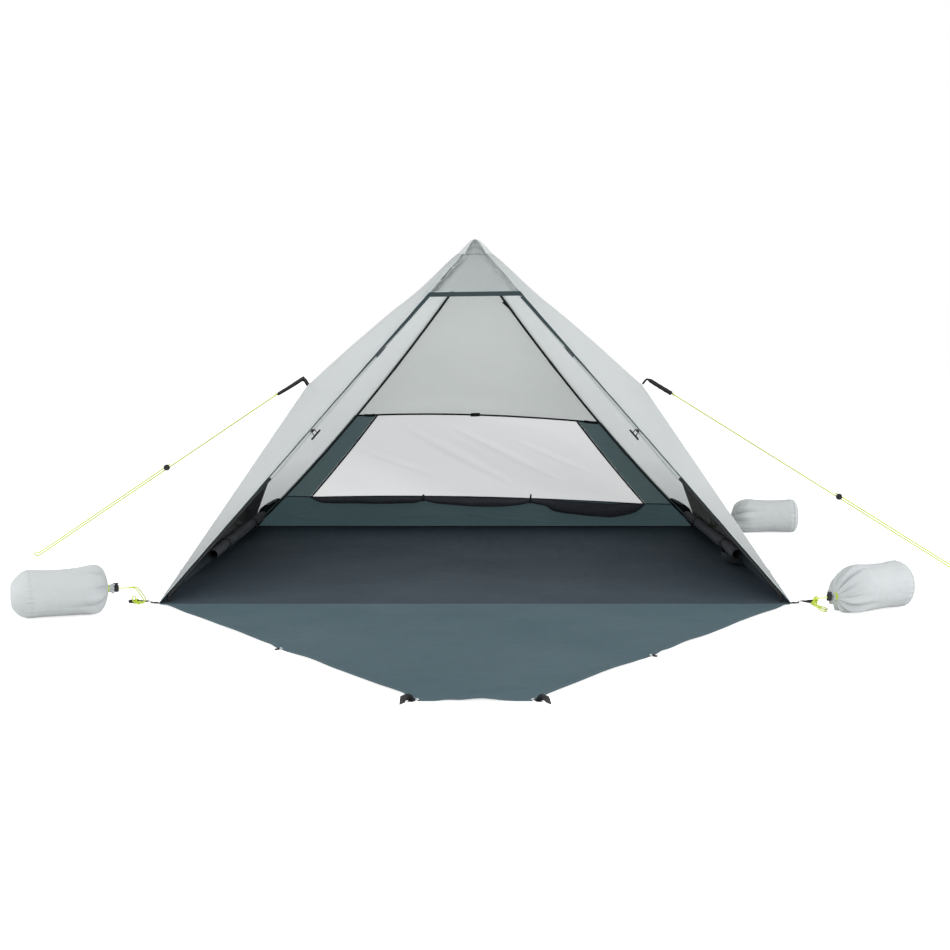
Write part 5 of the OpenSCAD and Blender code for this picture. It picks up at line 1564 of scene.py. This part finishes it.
def bag_rows(neck_height, folds, seed, depth, shoulder, seam_at):
    """Rings of a lying bag in its own frame: x from the neck to the end, z up from the ground."""
    neck_part = np.linspace(-RUFFLE, 0, 10)
    body_part = shoulder * np.linspace(0, 1, 56)[1:] ** 1.7
    long_part = np.linspace(shoulder, seam_at, 44)[1:]
    end_part = seam_at + (BAG_LEN - 0.001 - seam_at) * np.sin(np.linspace(0, math.pi / 2, 40))[1:]
    xs = np.concatenate([neck_part, body_part, long_part, end_part])
    a = np.linspace(0, 2 * math.pi, 145)
    rows = []
    for x in xs:
        s = x / shoulder
        if x <= 0:
            flare = -x / RUFFLE
            r = NECK_R * (0.86 + 0.45 * flare**1.3) * np.ones_like(a)
            r = r * (1 + (0.10 + 0.28 * flare) * np.sin(folds * a + seed + 0.6 * np.sin(2 * a)))
            level = 0.0
        elif x <= shoulder:
            r = (NECK_R + (BAG_R - NECK_R) * (1 - (1 - s) ** 2.2) ** 0.62) * np.ones_like(a)
            level = ease(s * 1.05)
        elif x <= seam_at:
            k = (x - shoulder) / (seam_at - shoulder)
            r = BAG_R * (1 - 0.035 * math.sin(math.pi * k)) * np.ones_like(a)
            level = 1.0
        else:
            k = (x - seam_at) / (BAG_LEN - 0.001 - seam_at)
            share = math.asin(min(1.0, k)) / (math.pi / 2)
            taper = 0.52 if seam_at < 0.25 else 0.30
            r = BAG_R * (1 - taper * k**1.8) * max(0.0, 1 - share**7) ** 0.5 * np.ones_like(a)
            level = 1.0
        if x > 0:
            # Folds fan out from the neck, each with its own length.
            bend = folds * a + seed + 0.7 * np.sin(2 * a + seed) + 0.4 * np.sin(3 * a - seed)
            reach = 0.75 + 0.35 * np.sin(a * 3 + seed * 2)
            fade = np.exp(-((x / 0.060 / reach) ** 1.6))
            crest = np.abs(np.sin(bend / 2)) ** 0.6 * 2 - 1.25
            r = r * (1 + depth * fade * crest * min(1.0, s * 4 + 0.3))
            small = np.sin(2.0 * bend + 3 * np.sin(a + seed)) * np.exp(-x * 30)
            r = r * (1 + 0.085 * small)
            gap = abs(x - seam_at)
            pucker = np.sin(23 * a + 2 * np.sin(3 * a + seed)) * 0.5 + np.sin(37 * a + seed) * 0.3
            r = r - 0.0030 * bell(gap, 0.004)
            r = r + 0.0034 * pucker * math.exp(-((gap / 0.013) ** 1.3))
            broad = noise_at(x * 9 + seed, np.cos(a) * 1.1 + seed, np.sin(a) * 1.1)
            fine = noise_at(x * 34 + seed, np.cos(a) * 3.5, np.sin(a) * 3.5 + seed)
            r = r * (1 + 0.045 * broad * min(1, s) + 0.016 * fine)
            if x < seam_at:
                slant = np.sin((x * 30 + 2.2 * np.cos(a - 0.6 - seed)))
                dent = bell(turned(a - 0.9 - seed), 0.6)
                r = r - 0.0035 * dent * (0.5 + 0.5 * slant) * ease((seam_at - x) / 0.05)
        centre = neck_height + (BAG_R - 0.003 - neck_height) * level
        y, z = r * np.sin(a), centre + r * np.cos(a)
        # The filling spreads where it meets the ground.
        low = np.clip((0.022 - z) / 0.022, 0, 1)
        y = y * (1 + 0.05 * low * level)
        soft = 0.006
        z = np.where(z < soft * 2, soft * 2 * np.exp((z - soft * 2) / (soft * 2)), z)
        z = np.maximum(z - 0.0012 * level, BAG_FOOT)
        rows.append(np.stack([np.full_like(a, x), y, z], axis=1))
    return np.array(rows)


for bag, (at, turn, neck_height, folds, seed, depth, lengths) in BAGS.items():
    rows = bag_rows(neck_height, folds, seed, depth, *lengths)
    c, s = math.cos(math.radians(turn)), math.sin(math.radians(turn))
    placed = np.stack([at[0] + rows[..., 0] * c - rows[..., 1] * s,
                       at[1] + rows[..., 0] * s + rows[..., 1] * c, rows[..., 2]], axis=-1)
    tip = placed[0].mean(axis=0) + np.array([c, s, 0]) * 0.008
    plug = np.array([lerp(np.repeat(tip[None, :], placed.shape[1], axis=0), placed[0], k)
                     for k in (0.02, 0.5, 1.0)])
    cloth_piece(f"{bag}_bag", [plug, placed], ["bag cloth"],
                          [f"{bag}_sandbag"], away=None, closed=True)

# %% Knots and second strands
def knot_route(at, size, tilt):
    """A small overhand knot: a trefoil drawn tight."""
    t = np.linspace(0, 2 * math.pi, 90)
    x = np.sin(t) + 2 * np.sin(2 * t)
    y = np.cos(t) - 2 * np.cos(2 * t)
    z = -np.sin(3 * t) * 1.3
    c, s = math.cos(tilt), math.sin(tilt)
    points = np.stack([x * c - z * s, y, x * s + z * c], axis=1) / 3.0
    return np.asarray(at, float) + points * size


def wrap_route(centre, axis, radius, turns, pitch):
    """Turns of cord round a neck or a bar."""
    axis, up, side = across_axis(axis, (0.02, 0.03, 1.0))
    t = np.linspace(0, turns * 2 * math.pi, int(40 * turns))
    shift = (t / (2 * math.pi) - turns / 2) * pitch
    return (np.asarray(centre, float) + axis * shift[:, None]
            + radius * (np.cos(t)[:, None] * up + np.sin(t)[:, None] * side))


def sleeve_object(name, path, radii):
    """A solid turned shape along a straight path."""
    _, up, side = across_axis(path[-1] - path[0])
    a = np.linspace(0, 2 * math.pi, 33)
    rows = [p + r * (np.cos(a)[:, None] * up + np.sin(a)[:, None] * side)
            for p, r in zip(path, radii)]
    rows = [np.repeat(path[:1], 33, axis=0) + (rows[0] - path[0]) * 0.05] + rows
    rows = rows + [np.repeat(path[-1:], 33, axis=0) + (rows[-1] - path[-1]) * 0.05]
    return cloth_piece(name, [np.array(rows)], ["black plastic"], away=None,
                       closed=True)


def cord_piece(name, route, radius=0.0021, on_ground=True):
    """A short piece of cord that lies on what it is tied to, or on the ground."""
    if on_ground:
        route = np.column_stack([route[:, :2], np.maximum(route[:, 2], radius)])
    wear(tube_object(name, route, radius, 8), ["lime cord"])


# How far each hook's sleeve reaches past the ring, and where along it the cord is hitched.
SLEEVE_END = {"front_left": 0.026, "front_right": 0.010, "rear_left": 0.010, "rear_right": 0.010}
HITCH_AT = {"front_left": 0.60, "front_right": 0.90, "rear_left": 0.75, "rear_right": 0.75}
BOW = np.array([(0, 0, 0), (2, 3, 10), (6, 5, 19), (12, 4, 22), (15, 0, 15), (11, -3, 6),
                (2, -1, 2)]) * MM
for bag, (at, turn, neck_height, folds, seed, depth, lengths) in BAGS.items():
    axis = np.array([math.cos(math.radians(turn)), math.sin(math.radians(turn)), 0.0])
    neck = np.array([at[0], at[1], neck_height])
    cord_piece(f"{bag}_neck_tie", wrap_route(neck + axis * 0.001, axis, NECK_R * 1.02, 2.6, 0.0040),
               0.0020, on_ground=False)
    points = np.array(BAG_ROUTES[bag]) * MM
    cord_piece(f"{bag}_knot", knot_route(points[2], 0.0066, seed))
    bow = points[1] + BOW * [1 if at[0] > 0 else -1, 1, 1] - [0, 0, 0.003]
    cord_piece(f"{bag}_loop", smooth_route(bow, 0.0015))
    # A moulded sleeve covers each hook, and the cord is hitched round it.
    way = np.array([math.copysign(1.0, at[0]), 0, 0])
    inner, outer = points[0] - way * 0.036, points[0] + way * SLEEVE_END[bag]
    s = np.linspace(0, 1, 40)
    grow = 0.0026 + 0.0034 * ease(s / 0.62)
    grow = grow * np.where(s > 0.97, 0.86, 1.0) * np.where(s < 0.03, 0.8, 1.0)
    grow = grow - 0.0004 * bell(s - 0.64, 0.02)
    sleeve_object(f"{bag}_hook_sleeve", lerp(inner, outer, s), grow)
    cord_piece(f"{bag}_hitch", wrap_route(lerp(inner, outer, HITCH_AT[bag]), outer - inner,
                                          0.0070, 2.6, 0.0042))
    apart = np.sin(np.linspace(0, math.pi, len(points) - 2))[:, None]
    second = smooth_route(points[1:-1] + np.array([0.004, 0.004, 0.006]) * apart, 0.003)
    cord_piece(f"{bag}_second_strand", second, 0.0019)
for side, sign in (("left", -1), ("right", 1)):
    start, second = np.array(GUY_ROUTES[side][:2]) * MM
    cord_piece(f"{side}_strap_knot",
               knot_route(start + unit(second - start) * 0.006, 0.0056, 1.0 + sign), 0.0014,
               on_ground=False)

# %% [markdown]
# ## Floor and light
# The floor is a pale studio floor that reads as white where no shadow falls. The world gives an
# even light from all round, and four large lamps give the cloth its shape.

# %% Floor, world and lamps
def make_floor():
    bpy.ops.mesh.primitive_plane_add(size=80, location=(0, 0, -0.0008))
    floor = bpy.context.active_object
    floor.name = "studio_floor"
    g, shader, output = new_material("studio floor")
    g.fill(shader, {"Base Color": (0.8, 0.8, 0.8, 1), "Roughness": 1.0,
                    "Specular IOR Level": 0.0})
    glow = g.node("Emission", {"Color": (1, 1, 1, 1), "Strength": g.seen() * FLOOR_GLOW})
    both = g.node("AddShader", {0: g.out(shader), 1: g.out(glow)})
    g.fill(output, {"Surface": g.out(both)})
    paint(floor, "studio floor")
    floor.select_set(False)
    return floor


def add_lamp(name, at, aim, size, power):
    data = bpy.data.lights.new(name, "AREA")
    data.shape, data.size, data.energy = "DISK", size, power
    lamp = bpy.data.objects.new(name, data)
    lamp.location = at
    lamp.rotation_euler = (Vector(aim) - Vector(at)).to_track_quat("-Z", "Y").to_euler()
    bpy.context.scene.collection.objects.link(lamp)
    return lamp


FLOOR_GLOW, WORLD_LIGHT = 0.75, 0.62
floor = make_floor()
world = bpy.data.worlds.new("studio")
bpy.context.scene.world = world
world.use_nodes = True
sky = Graph(world.node_tree)
back = next(n for n in world.node_tree.nodes if n.type == "BACKGROUND")
sky.fill(back, {"Color": (1, 1, 1, 1),
                "Strength": sky.ramp(sky.seen(), 0.0, 1.0, WORLD_LIGHT, 1.0)})
add_lamp("key", (-2.0, -4.0, 5.0), (0, 0, 0.4), 4.0, 30)
add_lamp("front fill", (0.3, -8.5, 2.4), (0, 0.4, 0.4), 4.0, 150)
for side, x, power in (("left", -5.0, 85), ("right", 5.0, 115)):
    add_lamp(f"{side} side", (x, -2.0, 2.2), (0, 0.0, 0.5), 3.0, power)
scene = bpy.context.scene
scene.view_settings.view_transform = "Standard"
